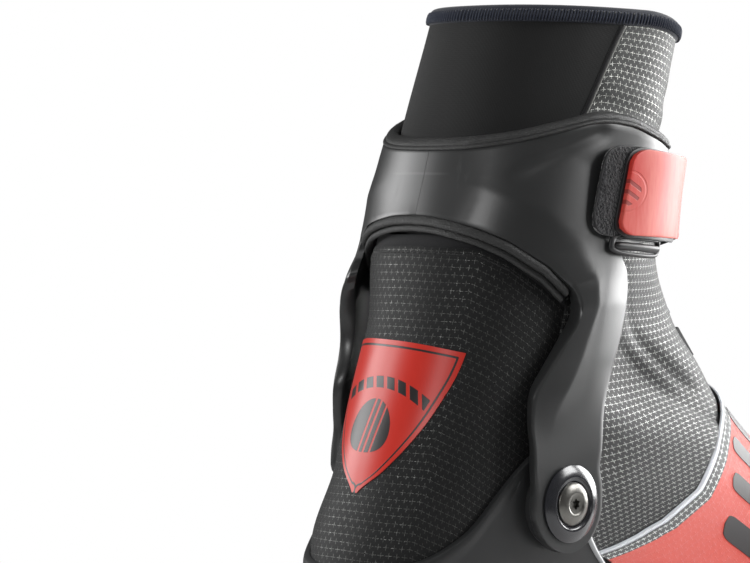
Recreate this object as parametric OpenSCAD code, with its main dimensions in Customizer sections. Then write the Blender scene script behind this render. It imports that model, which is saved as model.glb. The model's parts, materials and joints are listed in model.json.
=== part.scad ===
/* [Overall sizes] */
// Length of the boot from the heel to the toe
boot_length = 305; // [250:1:370]
// Width of the forefoot over the upper
boot_width = 95; // [79:1:114]
// Height of the cuff's highest edge above the ground
cuff_height = 215; // [180:1:258]
// Rise of the ankle collar above the cuff
collar_rise = 35; // [20:1:60]
// Height of the cuff pivots above the ground
pivot_height = 88; // [74:1:105]

/* [Sole] */
// Thickness of the rubber outsole
outsole_t = 6; // [5:0.5:7.5]
// Height of the sole tray's wall above the ground
tray_top = 22; // [18:1:26]
// Width of each binding guide groove
guide_w = 7; // [5:0.5:9]
// Distance between the centres of the two guide grooves
guide_pitch = 26; // [22:1:31]
// Diameter of the binding bar
bar_d = 4; // [3.3:0.1:4.8]
// Free length of the binding bar between its cheeks
bar_span = 28; // [24:1:34]
// Height of the binding bar above the ground
bar_height = 5; // [4.5:0.5:6]

/* [Fabric and lining] */
// Thickness of the padded liner
liner_t = 3; // [2:0.5:4]
// Thickness of the upper's fabric
fabric_t = 1.7; // [1:0.1:2.2]
// Thickness of the outer cover and of the instep band
cover_t = 1; // [0.8:0.1:1.5]
// Room for the lacing under the cover
lacing_room = 1.6; // [1.4:0.1:2.4]
// Thickness of the heel counter's wall
counter_t = 2.5; // [1.5:0.1:3]
// Height of the collar's hem
hem_h = 6; // [4:0.5:8]

/* [Cuff and pivots] */
// Wall thickness of the cuff
cuff_wall = 3; // [2.5:0.1:3.6]
// Gap between the fabric and the inside of the cuff
cuff_gap = 2; // [1.9:0.1:3]
// Radius of the eye at the foot of each cuff arm
eye_r = 16.5; // [14:0.5:18]
// Diameter of the pivot sleeve
sleeve_d = 14; // [11.5:0.5:17]
// Wall of the plastic bush round the sleeve
bush_wall = 2; // [1.5:0.1:2.5]
// Running clearance of the pivot, on the radius
pivot_clearance = 0.05; // [0.02:0.01:0.1]
// Diameter of the pivot's cover washer
cap_d = 26; // [22:1:31]
// Diameter of the pivot screw's shank
screw_d = 6; // [5:0.5:7]

/* [Strap and zip] */
// Height of the ankle strap
strap_h = 28; // [23:1:33]
// Thickness of the ankle strap
strap_t = 1.5; // [1:0.1:2]
// Thickness of the moulded strap tab
tab_t = 2.4; // [1.8:0.1:3]
// Thickness of the loop pad on the cuff
pad_t = 1.8; // [1.2:0.1:2.2]
// Width of the zip's tape
zip_w = 12; // [9:0.5:14]

/* [Hidden] */
$fn = 48;

// The foot and ankle form. Each row is one section from the toe to the collar:
// x and z of its top or front point, x and z of its sole or rear point, half width.
// x is measured from the cuff pivots for a boot 305 long, 95 wide and 250 high.
SECTIONS = [
    [238, 32, 238, 24, 3],
    [230, 50, 232, 17, 19],
    [205, 66, 209, 12, 38],
    [170, 79, 172, 12, 47.5],
    [144, 91, 130, 13, 46.5],
    [123, 108, 75, 16, 41],
    [107, 125, 10, 19, 38.5],
    [91, 144, -46, 26, 38],
    [79, 161, -62, 56, 38.5],
    [73, 178, -53, 98, 39.5],
    [71, 196, -37, 147, 40],
    [75, 220, -22, 198, 40],
    [83, 250, -7, 250, 39.5],
    [87, 266, -1, 266, 39.5]];
ROUNDNESS = 2.3;      // exponent of the oval sections
scale_x = boot_length / 305;
scale_y = boot_width / 95;
scale_z = (cuff_height + collar_rise) / 250;
origin_x = 87.5 * scale_x;
toe_shift = 4;        // how far the toe's tip leans to the inner side
gap = 0.1;            // clearance between fixed layers
hard_gap = 0.7;       // room for the fabric inside the sole tray and the counter

layer_gap = 0.5;      // clearance between layers laid on different grids
upper_out = -gap;
upper_in = upper_out - fabric_t;
liner_out = upper_in - layer_gap;
liner_in = liner_out - liner_t;
board_t = 1.2;
footbed_t = 2.8;
cover_in = 0.3;

ankle_half_w = 38.5 * scale_y;
boss_y = ankle_half_w + counter_t + 1.5;
eye_in = boss_y + 0.3;
eye_out = eye_in + cuff_wall + 0.5;
cap_y = eye_out + 0.15;
bush_r = sleeve_d / 2 + pivot_clearance + bush_wall;
cuff_out = cuff_gap + cuff_wall;
cuff_span = cuff_height - pivot_height;

function clamp(t) = min(max(t, 0), 1);
function smooth(t) = let (q = clamp(t)) q * q * (3 - 2 * q);
function mix(a, b, t) = a + (b - a) * t;
function bend(a, b, c, d, t) =
    0.5 * ((2 * b) + (c - a) * t + (2 * a - 5 * b + 4 * c - d) * t * t
    + (3 * b - a - 3 * c + d) * t * t * t);

// A smooth curve through a list of points, q from 0 to the last index
function along(list, q) =
    let (n = len(list) - 1, k = min(max(q, 0), n), i = min(floor(k), n - 1))
    bend(list[max(i - 1, 0)], list[i], list[i + 1], list[min(i + 2, n)], k - i);
function along_share(list, u) = along(list, u * (len(list) - 1));

function oval(t) = sign(t) * pow(abs(t), 2 / ROUNDNESS);

// A point of the form: section s, angle phi round it (0 at the sole and the
// heel's back, 90 on the right side, 180 on the instep and the shin) and the
// height off above the skin
function form(s, phi, off = 0) =
    let (q = along(SECTIONS, s),
         top = [q[0] * scale_x, 0, q[1] * scale_z],
         low = [q[2] * scale_x, 0, q[3] * scale_z],
         half = (top - low) / 2,
         p = (top + low) / 2 - half / norm(half) * oval(cos(phi)) * (norm(half) + off),
         lean = toe_shift * pow(clamp((p[0] / scale_x - 170) / 68), 2))
    [p[0], lean - oval(sin(phi)) * (q[4] * scale_y + off), p[2]];

// The section that passes through height z at angle phi
function level(phi, z, lo = 4.5, hi = 13, n = 14) =
    let (m = (lo + hi) / 2)
    n == 0 ? m : form(m, phi)[2] < z ? level(phi, z, m, hi, n - 1) : level(phi, z, lo, m, n - 1);
function shaft(phi, z, off = 0) = form(level(phi, z), phi, off);

// A wall between two grids: at(u, v, 1) is its outer face and at(u, v, 0) its
// inner face. ring closes it in v, tip closes its first end and turn swaps its faces.
module skin(nu, nv, at, ring = false, tip = false, turn = false) {
    cols = ring ? nv : nv + 1;
    n = (nu + 1) * cols;
    grid = [for (o = [1, 0]) for (i = [0:nu]) for (j = [0:cols - 1]) at(i / nu, j / nv, o)];
    tips = tip ? [for (o = [0, 1]) middle([for (j = [0:cols - 1]) grid[o * n + j]])] : [];
    function id(o, i, j) = (1 - o) * n + i * cols + j % cols;
    function quad(a, b, c, d) = [[a, b, c], [a, c, d]];
    outer = [for (i = [0:nu - 1]) for (j = [0:nv - 1])
        each quad(id(1, i, j), id(1, i, j + 1), id(1, i + 1, j + 1), id(1, i + 1, j))];
    inner = [for (i = [0:nu - 1]) for (j = [0:nv - 1])
        each quad(id(0, i, j), id(0, i + 1, j), id(0, i + 1, j + 1), id(0, i, j + 1))];
    end = [for (j = [0:nv - 1])
        each quad(id(1, nu, j), id(1, nu, j + 1), id(0, nu, j + 1), id(0, nu, j))];
    start = [for (j = [0:nv - 1])
        each tip ? [[id(1, 0, j + 1), id(1, 0, j), 2 * n], [id(0, 0, j), id(0, 0, j + 1), 2 * n + 1]]
        : quad(id(1, 0, j + 1), id(1, 0, j), id(0, 0, j), id(0, 0, j + 1))];
    sides = ring ? [] : [for (i = [0:nu - 1])
        each concat(quad(id(1, i, 0), id(1, i + 1, 0), id(0, i + 1, 0), id(0, i, 0)),
            quad(id(1, i + 1, nv), id(1, i, nv), id(0, i, nv), id(0, i + 1, nv)))];
    faces = concat(outer, inner, end, start, sides);
    polyhedron(concat(grid, tips), turn ? faces : [for (f = faces) [f[2], f[1], f[0]]], 4);
}
function middle(list) = add(list) / len(list);
function add(list, i = 0) = i < len(list) - 1 ? list[i] + add(list, i + 1) : list[i];

// A round bead: at(u, a) is its surface, u from end to end and a round it
module bead(nu, sides, at, turn = false) {
    grid = [for (i = [0:nu]) for (j = [0:sides - 1]) at(i / nu, j * 360 / sides)];
    function id(i, j) = i * sides + j % sides;
    wall = [for (i = [0:nu - 1]) for (j = [0:sides - 1])
        each [[id(i, j), id(i, j + 1), id(i + 1, j + 1)], [id(i, j), id(i + 1, j + 1), id(i + 1, j)]]];
    ends = [for (j = [1:sides - 2]) each [[id(0, 0), id(0, j + 1), id(0, j)],
        [id(nu, 0), id(nu, j), id(nu, j + 1)]]];
    faces = concat(wall, ends);
    polyhedron(grid, turn ? [for (f = faces) [f[2], f[1], f[0]]] : faces, 4);
}

// Turns a boolean of faceted solids into one mesh
module one_mesh() { resize([0, 0, 0]) children(); }

// Turns a piece with its axis along +Y outwards on the left (1) or right (-1) side
module on_side(side, y) {
    translate([0, side * y, pivot_height]) rotate([-90 * side, 0, 0]) children();
}
module place() { translate([-origin_x, 0, 0]) children(); }
module patch(nu, nv, s0, s1, phi0, phi1, lo, hi) {
    skin(nu, nv, function (u, v, o) form(mix(s0, s1, u), mix(phi0, phi1, v), mix(lo, hi, o)),
        turn = phi1 < phi0);
}
// A sock closed at the toe, whose inner face starts at section s_in
module sock(nu, nv, s0, s_in, s1, lo, hi) {
    skin(nu, nv, function (u, v, o)
        form(mix(o == 1 ? s0 : s_in, s1, u), v * 360, mix(lo, hi, o)), true, true);
}

// ---------------------------------------------------------------- sole
SOLE_EDGE = [[-59, 1], [-56, 15], [-40, 26], [-5, 28], [60, 29], [110, 36], [160, 42],
    [203, 36], [229, 20], [239, 1]];
function sole_point(u, side) =
    let (p = along_share(SOLE_EDGE, u))
    [p[0] * scale_x, side * p[1] * scale_y + toe_shift * pow(clamp((p[0] - 170) / 68), 2)];
module sole_outline() {
    polygon(concat([for (i = [0:27]) sole_point(i / 27, 1)],
        [for (i = [27:-1:0]) sole_point(i / 27, -1)]));
}
bar_x = 224 * scale_x;
heel_end = -2 * scale_x;
front_start = 78 * scale_x;
housing_l = 20;
housing_cheek = 4;
housing_w = bar_span + 2 * housing_cheek;
housing_h = outsole_t + 6.8;
lug_pitch = 9;
lug_gap = 2;
lug_depth = 2.2;

module housing_pocket(clearance) {
    translate([bar_x - housing_l / 2 - clearance, -housing_w / 2 - clearance, -1])
        cube([housing_l + 2 * clearance, housing_w + 2 * clearance, housing_h + 1 + clearance]);
}
module tread(x0, x1) {
    for (side = [-1, 1])
        translate([x0, side * guide_pitch / 2 - guide_w / 2, -1]) cube([x1 - x0, guide_w, outsole_t - 1]);
    for (x = [x0 + lug_pitch:lug_pitch:x1 - lug_pitch])
        translate([x, -60 * scale_y, -1]) cube([lug_gap, 120 * scale_y, lug_depth + 1]);
}
module outsole(x0, x1) {
    difference() {
        linear_extrude(outsole_t) intersection() {
            sole_outline();
            translate([x0, -100]) square([x1 - x0, 200]);
        }
        tread(x0, x1);
    }
}
module outsole_front() {
    color("#1b1c1e") place() difference() {
        outsole(front_start, 245 * scale_x);
        housing_pocket(gap);
    }
}
module outsole_heel() { color("#1b1c1e") place() outsole(-70 * scale_x, heel_end); }

// Side outline of the heel counter and of the wing that carries the pivot
WING = [[-75, 0], [-75, 69], [-50, 71], [-41, 76], [-33, 83], [-25, 93], [-18, 102], [-8, 105],
    [6, 103], [14, 92], [17, 77], [28, 64], [45, 48], [68, 34], [110, 27], [110, 0]];
boss_r = 15;
nut_flange_r = 9;
nut_flange_t = 1.2;
nut_barrel_r = screw_d / 2 + 1.5;
function wing_z(z) = z > 60 ? z - 88 + pivot_height : z * mix(1, pivot_height / 88, z / 60);
module wing_prism(grow) {
    rotate([90, 0, 0]) linear_extrude(200, center = true) offset(delta = grow)
        polygon([for (p = WING) [p[0] * scale_x, wing_z(p[1])]]);
}
// A cover piece trimmed along the wing's edge
module beside_wing() {
    one_mesh() difference() {
        children();
        wing_prism(0.4);
    }
}
module chassis() {
    color("#202226") place() one_mesh() difference() {
        union() {
            difference() {
                translate([0, 0, outsole_t + gap]) linear_extrude(tray_top - outsole_t - gap) sole_outline();
                patch_solid(0.02, 8.4, hard_gap);
                housing_pocket(gap);
            }
            intersection() {
                patch(12, 26, 4.4, 8.8, -110, 110, hard_gap, gap + counter_t);
                wing_prism(0);
                translate([-100 * scale_x, -100, outsole_t + 2 * gap]) cube([250 * scale_x, 200, 200]);
            }
            for (side = [-1, 1])
                on_side(side, ankle_half_w + gap) cylinder(r = boss_r, h = boss_y - ankle_half_w - gap);
        }
        for (side = [-1, 1]) {
            on_side(side, ankle_half_w - 4) cylinder(r = nut_barrel_r + 0.2, h = 12);
            on_side(side, ankle_half_w - 4)
                cylinder(r = nut_flange_r + 0.2, h = 4 + 0.2 + nut_flange_t + gap);
        }
    }
}
// The form as a solid, for hollowing the sole tray
module patch_solid(s0, s1, off) {
    nu = 20;
    nv = 26;
    grid = [for (i = [0:nu]) for (j = [0:nv - 1]) form(mix(s0, s1, i / nu), j * 360 / nv, off)];
    wall = [for (i = [0:nu - 1]) for (j = [0:nv - 1]) let (k = (j + 1) % nv)
        each [[i * nv + j, (i + 1) * nv + k, i * nv + k], [i * nv + j, (i + 1) * nv + j, (i + 1) * nv + k]]];
    ends = [for (j = [1:nv - 2]) each [[0, j, j + 1], [nu * nv, nu * nv + j + 1, nu * nv + j]]];
    polyhedron(grid, concat(wall, ends), 4);
}
module toe_bar() {
    color("#c9ccd0") place() translate([bar_x, 0, bar_height]) rotate([90, 0, 0])
        cylinder(d = bar_d, h = bar_span + housing_cheek, center = true);
}
module toe_bar_housing() {
    color("#2a2c30") place() difference() {
        translate([bar_x - housing_l / 2, -housing_w / 2, 0.5]) cube([housing_l, housing_w, housing_h - 0.5]);
        translate([bar_x - bar_d - 2, -bar_span / 2, 0]) cube([housing_l, bar_span, bar_height + bar_d]);
        translate([bar_x, 0, bar_height]) rotate([90, 0, 0])
            cylinder(d = bar_d, h = bar_span + housing_cheek, center = true);
    }
}

// ---------------------------------------------------------------- foot
board_out = liner_in - 2 * layer_gap;
module insole_board() {
    color("#b9a27c") place() patch(14, 6, 0.95, 6.8, -40, 40, board_out - board_t, board_out);
}
module footbed() {
    top = board_out - board_t - gap;
    color("#8f9296") place() patch(14, 6, 0.95, 6.8, -40, 40, top - footbed_t, top);
}
module liner_foot() {
    color("#55585c") place() sock(15, 20, 0.45, 0.95, 7.6, liner_in, liner_out);
}
module liner_ankle() {
    color("#55585c") place() skin(6, 20, function (u, v, o)
        form(mix(7.65, level(v * 360, ankle_top), u), v * 360, mix(liner_in, liner_out, o)), true);
}
module vamp() {
    color("#26282b") place() sock(12, 20, 0.04, 0.3, 4.4, upper_in, upper_out);
}
module quarters() {
    color("#26282b") place() patch(12, 30, 4.43, 7.6, -148, 148, upper_in, upper_out);
}
module toe_cap() { color("#1d1f22") place() patch(6, 16, 0.25, 1.9, 64, 296, gap, gap + 1.6); }
module rand(side) { color("#1d1f22") place() patch(10, 4, 1.95, 4.3, side * 58, side * 78, gap, gap + 1.4); }
module rand_left() { rand(-1); }
module rand_right() { rand(1); }

// Height where the ankle's fabric stops and the collar starts
ankle_top = cuff_height - 39;
module tongue() {
    color("#303236") place() skin(14, 6, function (u, v, o)
        let (phi = mix(150, 210, v))
        form(mix(4.45, level(phi, ankle_top), u), phi, mix(upper_in, upper_out, o)));
}
// A round cord on the form: at(u) is [section, angle, height off the skin]
module cord(nu, sides, r, at) {
    bead(nu, sides, function (u, a)
        let (q = at(u), p = form(q[0], q[1], q[2]),
             q0 = at(max(u - 0.5 / nu, 0)), q1 = at(min(u + 0.5 / nu, 1)),
             along_dir = form(q1[0], q1[1], q1[2]) - form(q0[0], q0[1], q0[2]),
             up = form(q[0], q[1], q[2] + 1) - p,
             across = cross(along_dir, up))
        p + r * (cos(a) * across / norm(across) + sin(a) * up / norm(up)));
}
LACE_TURNS = 6;
LACE_R = 0.6;
LACE_REACH = 25;
function lace_at(u) =
    let (k = u * LACE_TURNS, i = floor(min(k, LACE_TURNS - 0.001)), w = smooth(k - i))
    [mix(4.7, 7.1, u), 180 + LACE_REACH * (i % 2 == 0 ? 1 - 2 * w : 2 * w - 1), LACE_R + gap];
module lace() { color("#0f1012") place() cord(LACE_TURNS * 8, 6, LACE_R, function (u) lace_at(u)); }
module eyelets() {
    color("#9fa3a8") place() for (i = [0:LACE_TURNS]) {
        phi = 180 + (LACE_REACH + 10) * (i % 2 == 0 ? 1 : -1);
        s = mix(4.7, 7.1, i / LACE_TURNS);
        low = form(s, phi, 0.4);
        out = form(s, phi, 1.4) - low;
        translate(low) rotate([0, acos(out[2] / norm(out)), atan2(out[1], out[0])]) difference() {
            cylinder(r = 1.7, h = 0.22);
            translate([0, 0, -1]) cylinder(r = 0.9, h = 3);
        }
    }
}

// The cover stands off over the lacing on the instep
function cover_off(phi, o) = cover_in + cover_t * o + lacing_room * smooth((55 - abs(phi - 180)) / 30);
// The section of the line between the instep band and the front cover, at phi
PIPING = [[80, 6.75], [85, 6.5], [93, 6.16], [105, 5.92], [122, 5.84], [150, 5.8], [180, 5.8]];
function piping_s(phi) = lookup(phi, PIPING);
PIPING_HALF = 0.045;  // half width of the piping, as a share of a section
SEAM_ROOM = 0.03;     // gap beside the piping, as a share of a section
zip_edge = 180 - 8.5;
module side_patch(nu, nv, side, at) {
    skin(nu, nv, function (u, v, o) let (q = at(u, v))
        form(q[0], side * q[1], cover_off(q[1], o)), turn = side < 0);
}
module instep_band(side) {
    color("#e2311f") place() beside_wing() side_patch(10, 14, side, function (u, v)
        let (low = mix(62, 82, smooth((u - 0.2) / 0.8)), phi = mix(low, zip_edge, v))
        [mix(4.4, piping_s(phi) - PIPING_HALF - SEAM_ROOM, u), phi]);
}
module instep_band_left() { instep_band(-1); }
module instep_band_right() { instep_band(1); }
module band_graphic() {
    color("#2b1716") place() for (side = [-1, 1]) for (k = [0:2])
        skin(3, 2, function (u, v, o)
            form(mix(4.85, 5.35, u) + 0.1 * k, side * (mix(92, 101, v) + 17 * k),
                cover_off(100, 1) + 0.4 + 0.3 * o), turn = side < 0);
}
module band_piping(side) {
    color("#c4c8cc") place() beside_wing() skin(24, 2, function (u, v, o)
        let (phi = mix(82, zip_edge, u), s = piping_s(phi) + mix(-1, 1, v) * PIPING_HALF)
        form(s, side * phi, cover_off(phi, 0) + (cover_t + 0.4) * o), turn = side > 0);
}
module band_piping_left() { band_piping(-1); }
module band_piping_right() { band_piping(1); }
module front_cover(side) {
    color("#6a6e72") place() beside_wing() side_patch(12, 14, side, function (u, v)
        let (phi = mix(83, zip_edge, v), low = piping_s(phi) + PIPING_HALF + SEAM_ROOM)
        [mix(low, level(phi, ankle_top - 1), u), phi]);
}
module front_cover_left() { front_cover(-1); }
module front_cover_right() { front_cover(1); }
module rear_panel() {
    color("#1f2124") place() skin(9, 26, function (u, v, o)
        let (phi = mix(-148, 148, v))
        form(mix(7.65, level(phi, ankle_top), u), phi, mix(upper_in, upper_out, o)));
}
// The shield on the rear panel: half its width, in degrees, from its tip to its top
SHIELD = [1, 12, 21, 28, 33, 37, 39];
module heel_emblem() {
    z0 = pivot_height + 3;
    h = 47 * scale_z;
    color("#e0331f") place() skin(10, 8, function (u, v, o)
        let (half = along_share(SHIELD, u), phi = mix(-1, 1, v) * half,
             z = z0 + h * u + 3 * smooth(u) * cos(90 * mix(-1, 1, v)))
        shaft(phi, z, gap + 0.7 * o));
}

// ---------------------------------------------------------------- zip
zip_top = form(6.98, 180, cover_off(180, 1));
zip_low = form(4.9, 180, cover_off(180, 1));
zip_dir = (zip_top - zip_low) / norm(zip_top - zip_low);
zip_tilt = atan2(zip_dir[2], -zip_dir[0]);
zip_len = norm(zip_top - zip_low);
TEETH_W = 4;
TEETH_T = 1.2;
// Along the zip: +X down the instep, +Z away from it, from the zip's top end
module on_zip(x, lift) {
    translate(zip_top) rotate([0, zip_tilt, 0]) translate([x, 0, lift]) children();
}
module zip_tape() {
    color("#17181a") place() on_zip(-2, 0.5) translate([0, -zip_w / 2, 0]) cube([zip_len + 8, zip_w, 0.8]);
}
module zip_teeth() {
    color("#2e3033") place() for (x = [8:2:zip_len + 4])
        on_zip(x, 1.4) translate([0, -TEETH_W / 2, 0]) cube([1.2, TEETH_W, TEETH_T]);
}
slider_l = 9;
slider_w = 8;
slider_h = 5;
pull_pin_r = 0.9;
module zip_slider() {
    color("#8d9196") place() difference() {
        union() {
            on_zip(-slider_l / 2 + 1, 1.4) translate([0, -slider_w / 2, 0])
                cube([slider_l, slider_w, slider_h - 1.4]);
            for (side = [-1, 1])
                on_zip(1, slider_h - 1) translate([-2, side * 2.5 - 0.6, 0]) cube([4, 1.2, 4]);
            on_zip(1, slider_h + 1.8) rotate([90, 0, 0]) cylinder(r = pull_pin_r, h = 5, center = true);
        }
        on_zip(-slider_l, 1) translate([0, -TEETH_W / 2 - 0.4, 0])
            cube([3 * slider_l, TEETH_W + 0.8, TEETH_T + 0.8]);
    }
}
module zip_pull() {
    color("#c0392b") place() on_zip(1, slider_h + 1.8) difference() {
        union() {
            rotate([90, 0, 0]) cylinder(r = pull_pin_r + 0.9, h = 3.2, center = true);
            translate([0, -1.6, -0.9]) cube([9, 3.2, 1.8]);
            translate([9, -3, -0.9]) cube([14, 6, 1.8]);
        }
        rotate([90, 0, 0]) cylinder(r = pull_pin_r + 0.06, h = 8, center = true);
    }
}

// ---------------------------------------------------------------- collar
collar_top = cuff_height + collar_rise;
collar_low = ankle_top + 1;
collar_t = 3;
function seam_phi(z) = 89 - 0.5 * (collar_top - z) / scale_z;
module collar() {
    color("#1a1b1d") place() skin(8, 16, function (u, v, o)
        let (z = mix(collar_low, collar_top - hem_h - gap, u))
        shaft(mix(-1, 1, v) * seam_phi(z), z, mix(-collar_t, 0, o)));
}
module collar_gore() {
    color("#777b80") place() skin(8, 14, function (u, v, o)
        let (z = mix(collar_low, collar_top - hem_h - gap, u))
        shaft(mix(seam_phi(z) + 0.6, 359.4 - seam_phi(z), v), z, mix(-collar_t, 0, o)));
}
module gore_piping(side) {
    color("#15161a") place() skin(8, 2, function (u, v, o)
        let (z = mix(cuff_height + 4, collar_top - hem_h - gap, u))
        shaft(side * (seam_phi(z) + mix(-1.5, 1.5, v)), z, mix(gap, 1, o)), turn = side < 0);
}
module gore_piping_left() { gore_piping(-1); }
module gore_piping_right() { gore_piping(1); }
module collar_hem() {
    color("#141a26") place() skin(3, 30, function (u, v, o)
        let (full = sin(180 * u))
        shaft(v * 360, collar_top - hem_h + hem_h * u, mix(-collar_t - 0.4 * full, 0.6 + 0.8 * full, o)), true);
}

// ---------------------------------------------------------------- cuff
// Edges of the cuff from the right pivot to the middle of the back. Each row is the
// angle and the height of the inner edge, then of the outer edge; heights are a
// share of the way from the pivot to the cuff's top.
CUFF = [
    [74, 0, 90, 0], [73, 0.08, 91, 0.08], [72, 0.154, 93, 0.14], [70, 0.22, 96, 0.24],
    [70, 0.293, 100, 0.346], [74, 0.355, 103, 0.43], [79, 0.43, 104, 0.51], [82, 0.48, 103, 0.58],
    [82, 0.515, 96, 0.65], [80, 0.545, 94, 0.695], [77, 0.57, 106, 0.71], [73, 0.59, 124, 0.72],
    [69, 0.61, 133, 0.77], [65, 0.628, 134, 0.86], [60, 0.645, 130, 0.92], [54, 0.665, 119, 0.94],
    [47, 0.688, 103, 0.968], [40, 0.705, 88, 0.996], [33, 0.72, 75, 0.998], [25, 0.733, 58, 0.972],
    [16, 0.745, 39, 0.945], [8, 0.753, 19, 0.93], [0, 0.756, 0, 0.927]];
CUFF_END = len(CUFF) - 1;
function cuff_pair(u) = along(CUFF, (1 - abs(2 * u - 1)) * CUFF_END);
// Angle and height of the cuff at share u along it and v across it
function cuff_at(u, v) =
    let (q = cuff_pair(u), side = u < 0.5 ? 1 : -1)
    [side * mix(q[0], q[2], v), mix(q[1], q[3], v)];
CREST = 1.3;          // height of the ridge along the middle of the cuff
function cuff_point(u, v, o) =
    let (q = cuff_at(u, v),
         edge = 1 - pow(abs(2 * v - 1), 6),
         ridge = CREST * (1 - abs(v - 0.5) / 0.5) * smooth((q[1] - 0.1) / 0.3),
         p = shaft(q[0], pivot_height + cuff_span * q[1],
             o == 1 ? cuff_gap + mix(1, cuff_wall, edge) + ridge : cuff_gap),
         flat = 1 - smooth((q[1] - 0.1) / 0.27),
         y = sign(p[1]) * (o == 1 ? mix(eye_in + 1, eye_out - 0.1, edge) : eye_in + 0.1))
    [p[0], mix(p[1], y, flat), p[2]];
module cuff() {
    color("#2b2d30") place() one_mesh() difference() {
        union() {
            skin(64, 6, function (u, v, o) cuff_point(u, v, o));
            for (side = [-1, 1]) on_side(side, eye_in) cylinder(r = eye_r, h = eye_out - eye_in);
        }
        for (side = [-1, 1]) on_side(side, eye_in - 3) cylinder(r = bush_r + 0.1, h = 20);
    }
}
LINING_START = 0.335;  // share of the cuff's length where its lining starts
module cuff_lining() {
    color("#3a3c40") place() skin(26, 6, function (u, v, o)
        let (q = cuff_at(mix(LINING_START, 1 - LINING_START, u), mix(0.04, 0.97, v)))
        shaft(q[0], pivot_height + cuff_span * q[1], mix(0.6, cuff_gap - layer_gap, o)));
}
RIM_START = 0.33;
module cuff_rim_pad() {
    color("#17181a") place() bead(40, 8, function (u, a)
        let (q = cuff_at(mix(RIM_START, 1 - RIM_START, u), 1))
        shaft(q[0], pivot_height + cuff_span * q[1] + 1.9 + 1.7 * cos(a), 2.4 + 1.9 * sin(a)));
}
ARCH_START = 0.225;
module cuff_arch_pad() {
    color("#17181a") place() bead(32, 8, function (u, a)
        let (q = cuff_at(mix(ARCH_START, 1 - ARCH_START, u), 0))
        shaft(q[0], pivot_height + cuff_span * q[1] - 2.6 + 2.2 * cos(a), 2.8 + 2 * sin(a)));
}

// ---------------------------------------------------------------- pivots
module pivot_nut(side) {
    color("#b8bbbf") place() on_side(side, ankle_half_w + 2 * gap) difference() {
        union() {
            cylinder(r = nut_flange_r, h = nut_flange_t);
            cylinder(r = nut_barrel_r, h = boss_y - ankle_half_w - 4 * gap);
        }
        translate([0, 0, -1]) cylinder(r = screw_d / 2 + pivot_clearance, h = 20);
    }
}
module pivot_nut_left() { pivot_nut(1); }
module pivot_nut_right() { pivot_nut(-1); }
module pivot_sleeve(side) {
    color("#b8bbbf") place() on_side(side, boss_y) difference() {
        cylinder(d = sleeve_d, h = cap_y - boss_y);
        translate([0, 0, -1]) cylinder(r = screw_d / 2 + pivot_clearance, h = 20);
    }
}
module pivot_sleeve_left() { pivot_sleeve(1); }
module pivot_sleeve_right() { pivot_sleeve(-1); }
module pivot_bush(side) {
    color("#e7e3da") place() on_side(side, eye_in) difference() {
        cylinder(r = bush_r, h = eye_out - eye_in);
        translate([0, 0, -1]) cylinder(r = sleeve_d / 2 + pivot_clearance, h = 20);
    }
}
module pivot_bush_left() { pivot_bush(1); }
module pivot_bush_right() { pivot_bush(-1); }
cap_r = cap_d / 2;
cap_seat = 0.8;
head_r = 7.2;
module pivot_cap(side) {
    color("#141518") place() on_side(side, cap_y) rotate_extrude() polygon([
        [screw_d / 2 + 0.1, 0], [cap_r, 0], [cap_r, 0.5], [cap_r - 1.6, 1.6],
        [head_r + 1.5, 1.6], [head_r + 1, cap_seat], [screw_d / 2 + 0.1, cap_seat]]);
}
module pivot_cap_left() { pivot_cap(1); }
module pivot_cap_right() { pivot_cap(-1); }
module pivot_screw(side) {
    shank = cap_y + cap_seat - ankle_half_w - 2 * gap;
    color("#77797d") place() on_side(side, cap_y + cap_seat) difference() {
        union() {
            rotate_extrude() polygon([[0, 0], [head_r, 0], [head_r, 0.5], [head_r - 0.9, 1.4],
                [head_r - 3, 1.9], [0, 2]]);
            translate([0, 0, -shank]) cylinder(d = screw_d, h = shank + 0.1);
        }
        translate([0, 0, 0.6]) cylinder(r = 1.9, h = 3, $fn = 6);
    }
}
module pivot_screw_left() { pivot_screw(1); }
module pivot_screw_right() { pivot_screw(-1); }

// ---------------------------------------------------------------- strap
pad_in = cuff_out + CREST + gap;
pad_out = pad_in + pad_t;
hook_t = 0.6;
tab_in = pad_out + hook_t + 2 * gap;
TAB_REAR = 92;        // angle of the tab's free end
TAB_FRONT = 136;      // angle where the tab joins the strap
STRAP_END = 258;      // angle of the strap's fixed end on the left side
STRAP_FRONT = 5;      // gap between the strap and the shin at its middle
function strap_z(phi) = cuff_height - 33 + 9.5 * pow(abs(phi - 180) / 88, 1.3);
// How far the strap comes in from its height over the cuff, at phi
function strap_dip(phi) = (tab_in - STRAP_FRONT) * (1 - smooth((abs(phi - 180) - 12) / 30));
module strap_piece(nu, phi0, phi1, half, lo, hi) {
    skin(nu, 4, function (u, v, o)
        let (phi = mix(phi0, phi1, u))
        shaft(phi, strap_z(phi) + mix(-half, half, v), mix(lo, hi, o) - strap_dip(phi)), turn = true);
}
module strap() {
    color("#131416") place() one_mesh() difference() {
        strap_piece(18, TAB_FRONT + 0.6, STRAP_END, strap_h / 2, tab_in, tab_in + strap_t);
        at_rivets() cylinder(r = rivet_r + gap, h = 20);
    }
}
module strap_tab() {
    color("#e5352a") place() strap_piece(8, TAB_REAR, TAB_FRONT, strap_h / 2, tab_in, tab_in + tab_t);
}
module strap_hooks() {
    color("#0c0d0f") place()
        strap_piece(8, TAB_REAR + 1, TAB_FRONT - 10, strap_h / 2 - 1, tab_in - gap - hook_t, tab_in - gap);
}
module loop_pad() {
    color("#101113") place() strap_piece(10, 80, 127, strap_h / 2 + 1, pad_in, pad_out);
}
GUIDE_LOW = 4;        // how far the guide reaches below the strap
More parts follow.
